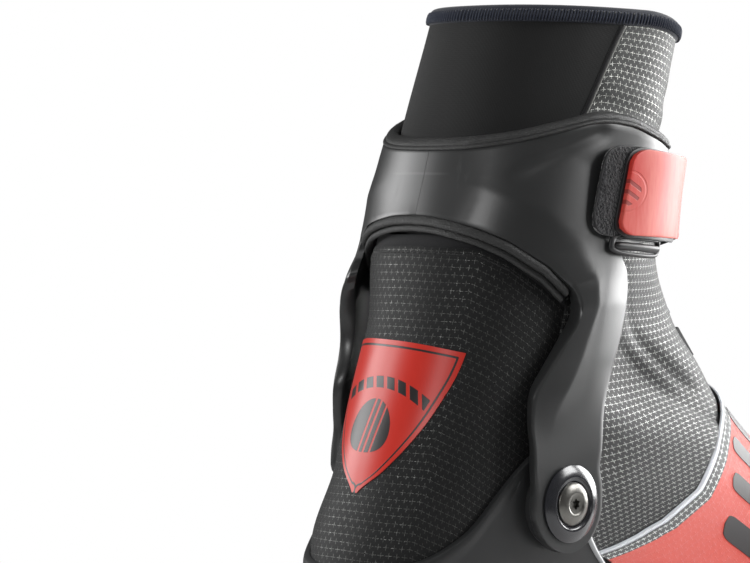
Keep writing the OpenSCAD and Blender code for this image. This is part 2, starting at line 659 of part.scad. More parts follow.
module strap_guide() {
    z_of = function (phi) strap_z(phi) - strap_h / 2 - GUIDE_LOW;
    color("#0d0e10") place() bead(10, 8, function (u, a)
        let (phi = mix(91, 115, u)) shaft(phi, z_of(phi) + 1.3 * cos(a), pad_in + 1.4 + 1.3 * sin(a)), true);
}
rivet_r = 2;
// Stands its children on the cuff at each rivet, +Z outwards
module at_rivets() {
    for (dz = [-7, 7]) {
        phi = STRAP_END - 6;
        low = shaft(phi, strap_z(phi) + dz, pad_in);
        out = shaft(phi, strap_z(phi) + dz, pad_in + 1) - low;
        translate(low) rotate([0, acos(out[2] / norm(out)), atan2(out[1], out[0])]) children();
    }
}
module strap_rivets() {
    head_low = tab_in + strap_t - pad_in + 2 * layer_gap;
    color("#8d9196") place() at_rivets() rotate_extrude() polygon([
        [0, 0], [rivet_r, 0], [rivet_r, head_low], [rivet_r + 2, head_low],
        [rivet_r + 1.4, head_low + 0.8], [0, head_low + 1.1]]);
}

outsole_front();
outsole_heel();
chassis();
toe_bar();
toe_bar_housing();
insole_board();
footbed();
liner_foot();
liner_ankle();
vamp();
quarters();
toe_cap();
rand_left();
rand_right();
tongue();
lace();
eyelets();
instep_band_left();
instep_band_right();
band_graphic();
band_piping_left();
band_piping_right();
front_cover_left();
front_cover_right();
rear_panel();
heel_emblem();
zip_tape();
zip_teeth();
zip_slider();
zip_pull();
collar();
collar_gore();
gore_piping_left();
gore_piping_right();
collar_hem();
cuff();
cuff_lining();
cuff_rim_pad();
cuff_arch_pad();
pivot_nut_left();
pivot_nut_right();
pivot_sleeve_left();
pivot_sleeve_right();
pivot_bush_left();
pivot_bush_right();
pivot_cap_left();
pivot_cap_right();
pivot_screw_left();
pivot_screw_right();
strap();
strap_rivets();
strap_tab();
strap_hooks();
loop_pad();
strap_guide();
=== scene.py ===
"""A cross country skate boot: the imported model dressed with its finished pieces."""
import json
import math
import random
from functools import lru_cache

import bmesh
import bpy
from mathutils import Matrix, Vector


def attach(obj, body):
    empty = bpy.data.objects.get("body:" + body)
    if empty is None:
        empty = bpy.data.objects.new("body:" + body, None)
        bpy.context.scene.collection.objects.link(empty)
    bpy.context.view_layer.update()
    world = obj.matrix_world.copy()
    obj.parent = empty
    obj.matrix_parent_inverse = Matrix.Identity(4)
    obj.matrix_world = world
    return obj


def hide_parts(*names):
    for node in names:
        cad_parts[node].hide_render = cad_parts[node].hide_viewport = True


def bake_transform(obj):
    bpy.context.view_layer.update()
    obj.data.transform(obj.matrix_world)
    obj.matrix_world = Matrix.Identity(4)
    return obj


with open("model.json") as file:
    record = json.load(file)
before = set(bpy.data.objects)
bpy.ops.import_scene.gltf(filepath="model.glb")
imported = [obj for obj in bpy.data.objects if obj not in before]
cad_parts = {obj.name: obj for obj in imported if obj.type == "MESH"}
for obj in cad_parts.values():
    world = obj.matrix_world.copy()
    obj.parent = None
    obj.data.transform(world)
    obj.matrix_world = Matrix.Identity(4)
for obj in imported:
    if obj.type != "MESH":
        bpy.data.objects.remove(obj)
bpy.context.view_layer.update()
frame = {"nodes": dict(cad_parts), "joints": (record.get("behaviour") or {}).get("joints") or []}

MM = 0.001
JOINTS = {joint["name"]: joint for joint in frame["joints"]}
PIVOT = Vector(JOINTS["cuff_pivot"]["pos_m"])
PIVOT_Z = PIVOT.z / MM
PIVOT_X = Vector((PIVOT.x, 0, 0))
NODES = frame["nodes"]
random.seed(11)


# ---------------------------------------------------------------- camera, floor, light
def make_camera():
    """Behind the boot on its outer side, at the height of the cuff."""
    azimuth, elevation, roll = (math.radians(a) for a in (-44.5, 1.5, 1.0))
    target = PIVOT + Vector((-0.0463, 0.0007, 0.0725))
    back = Vector((
        math.sin(azimuth) * math.cos(elevation),
        -math.cos(azimuth) * math.cos(elevation),
        math.sin(elevation)))
    right = Vector((math.cos(azimuth), math.sin(azimuth), 0))
    up = back.cross(right)
    tilted_right = right * math.cos(roll) + up * math.sin(roll)
    tilted_up = up * math.cos(roll) - right * math.sin(roll)
    data = bpy.data.cameras.new("camera")
    data.lens, data.sensor_width = 144.96, 36
    camera = bpy.data.objects.new("camera", data)
    turn = Matrix((tilted_right, tilted_up, back)).transposed().to_4x4()
    camera.matrix_world = Matrix.Translation(target + back) @ turn
    bpy.context.scene.collection.objects.link(camera)
    bpy.context.scene.camera = camera


def soft_light(name, azimuth, elevation, distance, size, power, tint=(1, 1, 1)):
    """A square softbox that looks at the cuff. Azimuth 0 stands on the outer side."""
    a, e = math.radians(azimuth), math.radians(elevation)
    away = Vector((math.sin(a) * math.cos(e), -math.cos(a) * math.cos(e), math.sin(e)))
    data = bpy.data.lights.new(name, "AREA")
    data.size, data.energy, data.color = size, power, tint
    light = bpy.data.objects.new(name, data)
    light.location = PIVOT_X + Vector((0, 0, 0.15)) + away * distance
    light.rotation_mode = "QUATERNION"
    light.rotation_quaternion = away.to_track_quat("Z", "Y")
    bpy.context.scene.collection.objects.link(light)


def make_studio():
    scene = bpy.context.scene
    scene.view_settings.view_transform = "Standard"
    world = bpy.data.worlds.new("studio")
    scene.world = world
    world.use_nodes = True
    tree = world.node_tree
    tree.nodes.clear()
    seen = tree.nodes.new("ShaderNodeBackground")
    seen.inputs["Strength"].default_value = 1.0
    lit = tree.nodes.new("ShaderNodeBackground")
    lit.inputs["Strength"].default_value = 0.10
    for shade in (seen, lit):
        shade.inputs["Color"].default_value = (1, 1, 1, 1)
    path = tree.nodes.new("ShaderNodeLightPath")
    choice = tree.nodes.new("ShaderNodeMixShader")
    out = tree.nodes.new("ShaderNodeOutputWorld")
    tree.links.new(path.outputs["Is Camera Ray"], choice.inputs[0])
    tree.links.new(lit.outputs[0], choice.inputs[1])
    tree.links.new(seen.outputs[0], choice.inputs[2])
    tree.links.new(choice.outputs[0], out.inputs[0])
    soft_light("back_softbox", -75, 16, 0.9, 0.20, 2.4)
    soft_light("side_softbox", 82, 10, 0.9, 0.5, 10.5)
    soft_light("top_softbox", 10, 76, 1.0, 0.4, 2.2)
    soft_light("far_softbox", -150, 12, 0.8, 0.4, 4.5)
    soft_light("front_softbox", 44, 26, 0.95, 0.35, 5.0)


# ---------------------------------------------------------------- the foot and ankle form
# Each row is one section from the toe to the collar: x and z of its top or front
# point, x and z of its sole or rear point, and its half width, in mm from the pivots.
SECTIONS = [
    (238, 32, 238, 24, 3), (230, 50, 232, 17, 19), (205, 66, 209, 12, 38),
    (170, 79, 172, 12, 47.5), (144, 91, 130, 13, 46.5), (123, 108, 75, 16, 41),
    (107, 125, 10, 19, 38.5), (91, 144, -46, 26, 38), (79, 161, -62, 56, 38.5),
    (73, 178, -53, 98, 39.5), (71, 196, -37, 147, 40), (75, 220, -22, 198, 40),
    (83, 250, -7, 250, 39.5), (87, 266, -1, 266, 39.5)]
ROUNDNESS = 2.3
TOE_LEAN = 4
UPPER_OUT = -0.1
LINER_OUT, LINER_IN = -2.0, -5.0
BOARD_T, FOOTBED_T = 1.2, 2.8
ANKLE_TOP = 176
CUFF_TOP = 215
COLLAR_TOP = 250
HEM_H = 6


def clamp(t):
    return min(max(t, 0.0), 1.0)


def smooth(t):
    t = clamp(t)
    return t * t * (3 - 2 * t)


def mix(a, b, t):
    return a + (b - a) * t


def along(table, q):
    """A smooth curve through the rows of a table, q from 0 to the last row."""
    last = len(table) - 1
    q = min(max(q, 0), last)
    i = min(int(q), last - 1)
    t = q - i
    rows = table[max(i - 1, 0)], table[i], table[i + 1], table[min(i + 2, last)]
    return [0.5 * (2 * b + (c - a) * t + (2 * a - 5 * b + 4 * c - d) * t * t
                   + (3 * b - a - 3 * c + d) * t ** 3) for a, b, c, d in zip(*rows)]


def lookup(table, x):
    """Straight lines between rows of (x, y)."""
    for (x0, y0), (x1, y1) in zip(table, table[1:]):
        if x <= x1:
            return mix(y0, y1, clamp((x - x0) / (x1 - x0)))
    return table[-1][1]


def oval(t):
    return math.copysign(abs(t) ** (2 / ROUNDNESS), t)


def form_mm(s, phi, off=0.0):
    """The form's point at section s and angle phi, off mm above the skin.
    phi is 0 at the sole and the heel's back, 90 on the outer side, 180 in front."""
    top_x, top_z, low_x, low_z, half_w = along(SECTIONS, s)
    half_x, half_z = (top_x - low_x) / 2, (top_z - low_z) / 2
    half = math.hypot(half_x, half_z)
    a = math.radians(phi)
    reach = oval(math.cos(a)) * (half + off) / half
    x = (top_x + low_x) / 2 - half_x * reach
    z = (top_z + low_z) / 2 - half_z * reach
    y = TOE_LEAN * clamp((x - 170) / 68) ** 2 - oval(math.sin(a)) * (half_w + off)
    return x, y, z


def in_frame(x, y, z):
    return Vector((x, y, z)) * MM + PIVOT_X


def dent(phi, z):
    """The cloth draws in on both sides of the instep where the ankle bends."""
    turn = abs((phi + 180) % 360 - 180)
    return -3.0 * math.exp(-((turn - 117) / 17) ** 2 - ((z - 132) / 26) ** 2)


def form(s, phi, off=0.0):
    return in_frame(*form_mm(s, phi, off + dent(phi, form_mm(s, phi)[2])))


@lru_cache(maxsize=None)
def level(phi, z):
    """The section that passes through height z at angle phi."""
    low, high = 4.5, 13.0
    for _ in range(18):
        middle = (low + high) / 2
        if form_mm(middle, phi)[2] < z:
            low = middle
        else:
            high = middle
    return (low + high) / 2


def shaft(phi, z, off=0.0):
    return in_frame(*form_mm(level(round(phi, 4), round(z, 4)), phi, off))


def locate(x, z):
    """Section and angle of the outer side's point at x and z."""
    s, phi = level(80, max(z, 40)), 80.0
    for _ in range(40):
        px, _, pz = form_mm(s, phi)
        sx, _, sz = form_mm(s + 0.01, phi)
        ax, _, az = form_mm(s, phi + 0.1)
        a, b, c, d = (sx - px) / 0.01, (ax - px) / 0.1, (sz - pz) / 0.01, (az - pz) / 0.1
        det = a * d - b * c
        if abs(det) < 1e-9:
            break
        ds, dphi = (d * (x - px) - b * (z - pz)) / det, (a * (z - pz) - c * (x - px)) / det
        s = min(max(s + max(min(ds, 0.5), -0.5), 0.5), 12.5)
        phi = min(max(phi + max(min(dphi, 12), -12), 4), 170)
    return s, phi


# ---------------------------------------------------------------- finishes
class Wire:
    """A value inside a finish. Arithmetic on it adds Math nodes."""

    def __init__(self, finish, socket):
        self.finish, self.socket = finish, socket

    def __add__(self, other):
        return self.finish.math("ADD", self, other)

    def __sub__(self, other):
        return self.finish.math("SUBTRACT", self, other)

    def __mul__(self, other):
        return self.finish.math("MULTIPLY", self, other)

    def __truediv__(self, other):
        return self.finish.math("DIVIDE", self, other)

    def __radd__(self, other):
        return self.finish.math("ADD", other, self)

    def __rsub__(self, other):
        return self.finish.math("SUBTRACT", other, self)

    def __rmul__(self, other):
        return self.finish.math("MULTIPLY", other, self)


def socket_name(key):
    return key.replace("_", " ").title().replace("Ior", "IOR")


class Finish:
    """A material on one Principled shader."""

    def __init__(self, name, **constants):
        self.material = bpy.data.materials.new(name)
        self.material.use_nodes = True
        self.tree = self.material.node_tree
        self.tree.nodes.clear()
        self.shader = self.tree.nodes.new("ShaderNodeBsdfPrincipled")
        output = self.tree.nodes.new("ShaderNodeOutputMaterial")
        self.tree.links.new(self.shader.outputs[0], output.inputs[0])
        for socket, value in constants.items():
            self.plug(self.shader.inputs[socket_name(socket)], value)

    def plug(self, socket, value):
        if isinstance(value, Wire):
            self.tree.links.new(value.socket, socket)
        elif isinstance(value, (tuple, list)) and len(value) == 3 and socket.type == "RGBA":
            socket.default_value = (*value, 1)
        else:
            socket.default_value = value

    def node(self, kind, inputs=None, out=0, **settings):
        node = self.tree.nodes.new("ShaderNode" + kind)
        for key, value in settings.items():
            setattr(node, key, value)
        for key, value in (inputs or {}).items():
            self.plug(node.inputs[key], value)
        return Wire(self, node.outputs[out])

    def math(self, operation, *values):
        return self.node("Math", dict(enumerate(values)), operation=operation)

    def step(self, value, low, high):
        """0 at low, 1 at high, and a soft step between them."""
        return self.node("MapRange", {"Value": value, "From Min": low, "From Max": high},
                         interpolation_type="SMOOTHSTEP")

    def tint(self, mask, a, b):
        return self.node("Mix", {0: mask, 6: a, 7: b}, out=2, data_type="RGBA")

    def place(self):
        return self.node("TexCoord", out="Object")

    def weave_place(self):
        """The piece's own map: mm round it and mm up it."""
        return self.node("TexCoord", out="UV")

    def parts(self, vector):
        split = self.tree.nodes.new("ShaderNodeSeparateXYZ")
        self.plug(split.inputs[0], vector)
        return [Wire(self, socket) for socket in split.outputs]

    def noise(self, scale, detail=2.0, vector=None, **more):
        return self.node("TexNoise", {"Vector": vector or self.place(), "Scale": scale,
                                      "Detail": detail, **more}, out="Fac")

    def stretch(self, vector, scale):
        return self.node("Mapping", {"Vector": vector, "Scale": scale})

    def mark(self, name):
        return self.node("Attribute", out="Fac", attribute_name=name)

    def bump(self, height, distance=0.0002, strength=1.0, below=None):
        """Relief of the given depth in metres, on top of another relief if there is one."""
        inputs = {"Height": height, "Distance": distance, "Strength": strength}
        if below:
            inputs["Normal"] = below
        return self.node("Bump", inputs, out="Normal")

    def use(self, **values):
        for socket, value in values.items():
            self.plug(self.shader.inputs[socket_name(socket)], value)
        return self.material


def line_mask(finish, distance, half_width, edge):
    """1 within half_width of a line, with a soft edge."""
    return 1 - finish.step(finish.math("ABSOLUTE", distance), half_width, half_width + edge)


CROSS_PITCH = (3.0, 2.65)
CROSS_ARM = (1.12, 0.95)


def crosses(finish, x, y):
    """Small plus signs in staggered rows, in the piece's mm."""
    row = finish.math("FLOOR", y / CROSS_PITCH[1])
    shift = finish.math("FRACT", row * 0.5)
    across = (finish.math("FRACT", x / CROSS_PITCH[0] + shift) - 0.5) * CROSS_PITCH[0]
    up = (finish.math("FRACT", y / CROSS_PITCH[1]) - 0.5) * CROSS_PITCH[1]
    flat = line_mask(finish, up, 0.11, 0.1) * line_mask(finish, across, CROSS_ARM[0], 0.15)
    tall = line_mask(finish, across, 0.1, 0.1) * line_mask(finish, up, CROSS_ARM[1], 0.15)
    return finish.math("MAXIMUM", flat, tall)


def threads(finish, x, y, pitch):
    """Plain weave relief, 0 to 1."""
    warp = finish.math("SINE", x * (2 * math.pi / pitch))
    weft = finish.math("SINE", y * (2 * math.pi / pitch))
    return warp * weft * 0.5 + 0.5


def cross_fabric(name, base, thread, thread_shine=0.9, sheen=0.15):
    """Dense dark cloth with metallic thread crosses."""
    f = Finish(name, specular_ior_level=0.28, sheen_weight=sheen, sheen_roughness=0.4)
    x, y, _ = f.parts(f.weave_place())
    mask = crosses(f, x, y)
    fine = threads(f, x, y, 0.62)
    worn = f.noise(60, 3.0)
    fleck = f.noise(2600, 1.0)
    mask = mask * (0.55 + 0.45 * f.step(fleck, 0.35, 0.6))
    dark = tuple(c * 0.6 for c in base)
    cloth = f.tint(f.step(worn * 0.5 + fine * 0.5, 0.25, 0.75), dark, base)
    height = fine * 0.35 + mask * 0.9 + fleck * 0.2
    return f.use(base_color=f.tint(mask, cloth, thread), metallic=mask * thread_shine,
                 roughness=0.62 - mask * 0.36 + (worn - 0.5) * 0.1, normal=f.bump(height, 0.00009))


def plain_cloth(name, base, pitch=0.7, rough=0.85, relief=0.00012, sheen=0.2):
    f = Finish(name, specular_ior_level=0.3, sheen_weight=sheen, sheen_roughness=0.5)
    x, y, _ = f.parts(f.weave_place())
    fine = threads(f, x, y, pitch)
    worn, fleck = f.noise(45, 4.0), f.noise(1800, 2.0)
    light = tuple(min(c * 1.5, 1) for c in base)
    shade = f.step(fine * 0.6 + worn * 0.4, 0.2, 0.8)
    return f.use(base_color=f.tint(shade * 0.7 + fleck * 0.3, base, light),
                 roughness=rough + (worn - 0.5) * 0.12,
                 normal=f.bump(fine * 0.7 + fleck * 0.5, relief))


def moulded(name, base, rough=0.4, grain=0.25, scuff=0.25, coat=0.0):
    """Moulded plastic: fine grain, slight waves and pale scuffs."""
    f = Finish(name, specular_ior_level=0.5, coat_weight=coat, coat_roughness=0.2)
    broad, fine = f.noise(18, 3.0), f.noise(2200, 2.0)
    streaks = f.noise(90, 5.0, f.stretch(f.place(), (1, 1, 0.12)), Roughness=0.7)
    scuffs = f.step(streaks, 0.62, 0.78) * scuff
    light = tuple(min(c * 1.9 + 0.01, 1) for c in base)
    return f.use(base_color=f.tint(scuffs + broad * 0.18, base, light),
                 roughness=rough + (broad - 0.5) * 0.14 + scuffs * 0.25 + (fine - 0.5) * 0.08,
                 normal=f.bump(fine * grain + streaks * 0.12, 0.00005))


def cuff_plastic():
    """Satin black plastic with a fine mould line up the back and rubbed patches."""
    f = Finish("cuff_plastic", specular_ior_level=0.62)
    x, y, z = f.parts(f.place())
    broad, fine = f.noise(16, 4.0), f.noise(2400, 2.0)
    streaks = f.noise(70, 5.0, f.stretch(f.place(), (1, 1, 0.15)), Roughness=0.72)
    seam_wave = (f.noise(30, 1.0) - 0.5) * 0.0012
    behind = 1 - f.step(x, PIVOT.x - 0.012, PIVOT.x - 0.008)
    seam = line_mask(f, y + 0.0022 + seam_wave, 0.00008, 0.00014) * behind
    rubbed = f.step(streaks, 0.6, 0.8)
    flash = line_mask(f, z - 0.1965 - seam_wave, 0.00015, 0.0005)
    flash = flash * line_mask(f, y - 0.001, 0.009, 0.006) * behind
    dark, pale = (0.017, 0.0175, 0.018), (0.060, 0.061, 0.060)
    colour = f.tint(rubbed * 0.45 + broad * 0.3 + flash * 0.6, dark, pale)
    height = fine * 0.22 + streaks * 0.35 - seam * 1.6
    return f.use(base_color=f.tint(seam * 0.8, colour, (0.004, 0.004, 0.004)),
                 roughness=0.37 + (broad - 0.5) * 0.16 + rubbed * 0.12 + (fine - 0.5) * 0.06,
                 normal=f.bump(height, 0.00007))


def neoprene():
    """Smooth knit face: fine ribs that follow the piece."""
    f = Finish("knit_neoprene", specular_ior_level=0.25, sheen_weight=0.12, sheen_roughness=0.5)
    x, y, _ = f.parts(f.weave_place())
    ribs = f.math("SINE", x * (2 * math.pi / 0.55)) * 0.5 + 0.5
    rows = f.math("SINE", y * (2 * math.pi / 0.7)) * 0.5 + 0.5
    knit = ribs * (0.6 + rows * 0.4)
    worn, fleck = f.noise(40, 3.0), f.noise(3000, 1.0)
    dark, pale = (0.009, 0.0092, 0.0095), (0.021, 0.0212, 0.021)
    return f.use(base_color=f.tint(knit * 0.5 + worn * 0.3 + fleck * 0.2, dark, pale),
                 roughness=0.86 + (worn - 0.5) * 0.1, normal=f.bump(knit * 0.7 + fleck * 0.4, 0.00008))


def faux_leather(name, base):
    """Coated cloth over foam: pebbled grain, cross creases and rubbed highlights."""
    f = Finish(name, specular_ior_level=0.45)
    grain = f.node("TexVoronoi", {"Vector": f.place(), "Scale": 1500.0}, out="Distance")
    creases = f.noise(5, 3.0, f.stretch(f.weave_place(), (0.12, 1.0, 1.0)))
    worn = f.noise(160, 4.0, Roughness=0.7)
    rubbed = f.step(worn, 0.55, 0.75)
    light = tuple(c * 3.4 + 0.01 for c in base)
    return f.use(base_color=f.tint(rubbed * 0.45 + grain * 0.2, base, light),
                 roughness=0.52 + (worn - 0.5) * 0.25,
                 normal=f.bump(grain * 0.6 + creases * 0.9 + worn * 0.5, 0.00022))


def band_print():
    """Red printed cloth with a strip of crosses left bare beside the piping."""
    f = Finish("red_print", specular_ior_level=0.45, sheen_weight=0.9, sheen_roughness=0.3)
    x, y, _ = f.parts(f.weave_place())
    mask = crosses(f, x, y)
    fine = threads(f, x, y, 0.55)
    worn = f.noise(50, 3.0)
    printed = f.step(f.mark("from_piping"), 4.6, 5.0)
    cloth = f.tint(mask, (0.022, 0.0225, 0.023), (0.5, 0.51, 0.5))
    red = f.tint(fine * 0.6 + worn * 0.4, (0.60, 0.035, 0.02), (0.80, 0.075, 0.04))
    return f.use(base_color=f.tint(printed, cloth, red), metallic=mask * (1 - printed) * 0.85,
                 roughness=0.5 + (worn - 0.5) * 0.1, normal=f.bump(fine * 0.7 + mask * 0.4, 0.00012))


def emblem_print():
    """Glossy red film with a dark line inside its edge and a plain peak pattern."""
    f = Finish("emblem_print", specular_ior_level=0.3, coat_weight=0.05, coat_roughness=0.25)
    x, y, _ = f.parts(f.weave_place())
    edge = f.mark("from_edge")
    border = f.step(edge, 1.6, 1.75) * (1 - f.step(edge, 2.35, 2.5))
    inside = f.step(edge, 3.4, 3.6)
    up = y - 23.0
    r = f.math("SQRT", x * x + up * up)
    slits = f.step(f.math("ABSOLUTE", x - up * 0.18), 1.7, 1.8)
    slits = slits * f.step(f.math("ABSOLUTE", x - up * 0.18 - 4.2), 0.35, 0.45)
    disc = (1 - f.step(r, 9.2, 9.4)) * f.math("MAXIMUM", slits, line_mask(f, x - up * 0.18, 0.75, 0.1))
    bars = f.step(y, 36.0, 36.2) * (1 - f.step(y, 40.0, 40.2))
    gaps = f.step(f.math("ABSOLUTE", f.math("FRACT", (x + y * 0.35) / 5.2 + 0.5) - 0.5), 0.14, 0.17)
    drawing = inside * f.math("MAXIMUM", disc, bars * gaps)
    dark = f.math("MAXIMUM", border, drawing)
    worn = f.noise(50, 3.0)
    red = f.tint(worn, (0.56, 0.022, 0.012), (0.64, 0.032, 0.018))
    return f.use(base_color=f.tint(dark, red, (0.02, 0.017, 0.017)), roughness=0.34 + (worn - 0.5) * 0.12,
                 normal=f.bump(f.noise(2600, 1.0) * 0.3 + dark * 0.5, 0.00004))


def tab_plastic():
    """Glossy red moulded tab with a sunk outline pressed into its face."""
    f = Finish("tab_plastic", specular_ior_level=0.35, coat_weight=0.15, coat_roughness=0.35)
    x, y, _ = f.parts(f.weave_place())
    r = f.math("SQRT", x * x * 1.35 + y * y * 0.8)
    ring = line_mask(f, r - 8.2, 0.25, 0.35)
    slant = f.math("FRACT", (x + y * 0.45) / 3.6 + 0.5) - 0.5
    bars = line_mask(f, slant, 0.17, 0.06) * (1 - f.step(r, 5.6, 5.9))
    pressed = f.math("MAXIMUM", ring, bars)
    worn, streaks = f.noise(70, 3.0), f.noise(40, 5.0, f.stretch(f.place(), (1, 1, 0.2)), Roughness=0.7)
    hazy = f.step(streaks, 0.4, 0.75)
    red = f.tint(hazy, (0.62, 0.035, 0.025), (0.76, 0.20, 0.16))
    return f.use(base_color=f.tint(bars * 0.6, red, (0.12, 0.02, 0.02)),
                 roughness=0.5 + hazy * 0.12, normal=f.bump(worn * 0.15 - pressed, 0.00012))


def pile():
    """Loop pile: dense fuzzy curls."""
    f = Finish("loop_pile", specular_ior_level=0.2, sheen_weight=0.5, sheen_roughness=0.5)
    curls = f.node("TexVoronoi", {"Vector": f.place(), "Scale": 900.0, "Randomness": 1.0}, out="Distance")
    fuzz = f.noise(1500, 4.0)
    return f.use(base_color=f.tint(fuzz * curls * 1.6, (0.006, 0.006, 0.007), (0.035, 0.034, 0.038)),
                 roughness=0.95 - fuzz * 0.1, normal=f.bump(fuzz + curls, 0.0004))


def metal(name, base, rough, brush=0.3):
    f = Finish(name, specular_ior_level=0.5)
    swirl = f.noise(900, 3.0, f.stretch(f.place(), (1, 0.1, 1)))
    worn = f.noise(120, 3.0)
    dull = tuple(c * 0.75 for c in base)
    return f.use(base_color=f.tint(worn, dull, base), metallic=0.92,
                 roughness=rough + (swirl - 0.5) * brush + (worn - 0.5) * 0.1,
                 normal=f.bump(swirl, 0.00002))


def rubber(name, base, rough=0.7):
    f = Finish(name, specular_ior_level=0.35)
    fine, broad = f.noise(1700, 3.0), f.noise(35, 3.0)
    light = tuple(c * 1.7 for c in base)
    return f.use(base_color=f.tint(broad * 0.6 + fine * 0.3, base, light),
                 roughness=rough + (broad - 0.5) * 0.15, normal=f.bump(fine, 0.00015))


def reflective():
    """Retroreflective tape: bright woven beads."""
    f = Finish("reflective_tape", specular_ior_level=0.6)
    x, y, _ = f.parts(f.weave_place())
    beads = threads(f, x, y, 0.5)
    return f.use(base_color=f.tint(beads, (0.34, 0.36, 0.40), (0.62, 0.64, 0.66)),
                 metallic=0.35 + beads * 0.2, roughness=0.42 - beads * 0.08, normal=f.bump(beads, 0.00008))


def thread_finish(name, base):
    f = Finish(name, specular_ior_level=0.3, sheen_weight=0.3, sheen_roughness=0.4)
    twist = f.noise(3500, 2.0, f.stretch(f.place(), (1, 1, 3)))
    light = tuple(min(c * 2.2 + 0.005, 1) for c in base)
    return f.use(base_color=f.tint(twist, base, light), roughness=0.7 + twist * 0.15,
                 normal=f.bump(twist, 0.00008))


# ---------------------------------------------------------------- piece making
def add_piece(name, bm, finish, body=None, replaces=(), sharp=40):
    """A bmesh as an object that rides on a body, with its finish."""
    mesh = bpy.data.meshes.new(name)
    bm.to_mesh(mesh)
    bm.free()
    mesh.shade_smooth()
    if sharp:
        mesh.set_sharp_from_angle(angle=math.radians(sharp))
    mesh.materials.append(finish)
    piece = bpy.data.objects.new(name + "_shape" if name in NODES else name, mesh)
    bpy.context.scene.collection.objects.link(piece)
    if body:
        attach(piece, body)
    if replaces:
        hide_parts(*replaces)
    return piece


def settle(piece, sharp=40):
    """Applies the piece's modifiers, so that its mesh is final."""
    graph = bpy.context.evaluated_depsgraph_get()
    mesh = bpy.data.meshes.new_from_object(piece.evaluated_get(graph), depsgraph=graph,
                                           preserve_all_data_layers=True)
    piece.modifiers.clear()
    piece.data = mesh
    mesh.name = piece.name
    if sharp:
        mesh.set_sharp_from_angle(angle=math.radians(sharp))
    return piece


def cut(piece, bm):
    """Takes a closed bmesh out of a piece."""
    mesh = bpy.data.meshes.new("cutter")
    bm.to_mesh(mesh)
    bm.free()
    cutter = bpy.data.objects.new("cutter", mesh)
    bpy.context.scene.collection.objects.link(cutter)
    hole = piece.modifiers.new("hole", "BOOLEAN")
    hole.operation, hole.object, hole.solver = "DIFFERENCE", cutter, "EXACT"
    bpy.context.view_layer.update()
    settle(piece)
    bpy.data.objects.remove(cutter)
    return piece


def laid_grid(nu, nv, at, ring=False, from_top=False, marks=None):
    """A grid laid by at(u, v, lift), with a map in mm that follows it.
    ring closes it in v. marks gives named values at each point."""
    points = [[at(i / nu, j / nv, 0) for j in range(nv + 1)] for i in range(nu + 1)]
    middle = nv // 2
    across = [[0.0] * (nv + 1) for _ in range(nu + 1)]
    for i, row in enumerate(points):
        for j in range(1, nv + 1):
            across[i][j] = across[i][j - 1] + (row[j] - row[j - 1]).length / MM
        centre = across[i][middle]
        across[i] = [a - centre for a in across[i]]
    up = [[0.0] * (nv + 1) for _ in range(nu + 1)]
    for j in range(nv + 1):
        for i in range(1, nu + 1):
            up[i][j] = up[i - 1][j] + (points[i][j] - points[i - 1][j]).length / MM
        if from_top:
            top = up[nu][j]
            for i in range(nu + 1):
                up[i][j] -= top
    bm = bmesh.new()
    uv = bm.loops.layers.uv.new("UVMap")
    bmesh.ops.create_grid(bm, x_segments=nu, y_segments=nv, size=0.5)
    layers = {name: bm.verts.layers.float.new(name) for name in (marks or {})}
    cell = {}
    for vert in bm.verts:
        i, j = round((vert.co.x + 0.5) * nu), round((vert.co.y + 0.5) * nv)
        cell[vert] = (i, j)
        for name, value in (marks or {}).items():
            vert[layers[name]] = value(i / nu, j / nv)
    for face in bm.faces:
        for loop in face.loops:
            i, j = cell[loop.vert]
            loop[uv].uv = (across[i][j], up[i][j])
    for vert, (i, j) in cell.items():
        vert.co = points[i][j]
    bm.normal_update()
    bm.faces.ensure_lookup_table()
    outward = at(0.5, 0.5, 1) - at(0.5, 0.5, 0)
    centre = at(0.5, 0.5, 0)
    nearest = min(bm.faces, key=lambda face: (face.calc_center_median() - centre).length_squared)
    if nearest.normal.dot(outward) < 0:
        bmesh.ops.reverse_faces(bm, faces=bm.faces)
    if ring:
        bmesh.ops.remove_doubles(bm, verts=bm.verts, dist=1e-6)
    return bm


def skin_piece(name, nu, nv, at, thick, finish, body=None, replaces=(), ring=False,
               from_top=False, marks=None, cap=False, edge=0.0, sharp=40):
    """A sheet of the given thickness below the surface laid by at, with rounded edges."""
    bm = laid_grid(nu, nv, at, ring, from_top, marks)
    if cap:
        bmesh.ops.holes_fill(bm, edges=[e for e in bm.edges if e.is_boundary
                                        and all((v.co - at(0, 0, 0)).length < 0.012 for v in e.verts)])
    piece = add_piece(name, bm, finish, None, replaces, sharp=0)
    wall = piece.modifiers.new("wall", "SOLIDIFY")
    wall.thickness, wall.offset, wall.use_rim = thick * MM, -1, True
    wall.use_even_offset = False
    if edge:
        rounding = piece.modifiers.new("rounding", "BEVEL")
        rounding.width, rounding.segments, rounding.limit_method = edge * MM, 2, "ANGLE"
        rounding.angle_limit = math.radians(50)
    settle(piece, sharp)
    if body:
        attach(piece, body)
    return piece


def roll_piece(name, nu, sides, at, finish, body=None, replaces=(), closed=False):
    """A rounded roll: at(u, angle) is its surface. Its ends are closed."""
    def surface(u, v, lift):
        point = at(u, v * 360)
        return point + (point - at(u, v * 360 + 180)).normalized() * lift * MM
    bm = laid_grid(nu, sides, surface, ring=True)
    if closed:
        bmesh.ops.remove_doubles(bm, verts=bm.verts, dist=1e-6)
    else:
        bmesh.ops.holes_fill(bm, edges=[e for e in bm.edges if e.is_boundary])
    bmesh.ops.recalc_face_normals(bm, faces=bm.faces)
    return add_piece(name, bm, finish, body, replaces, sharp=60)


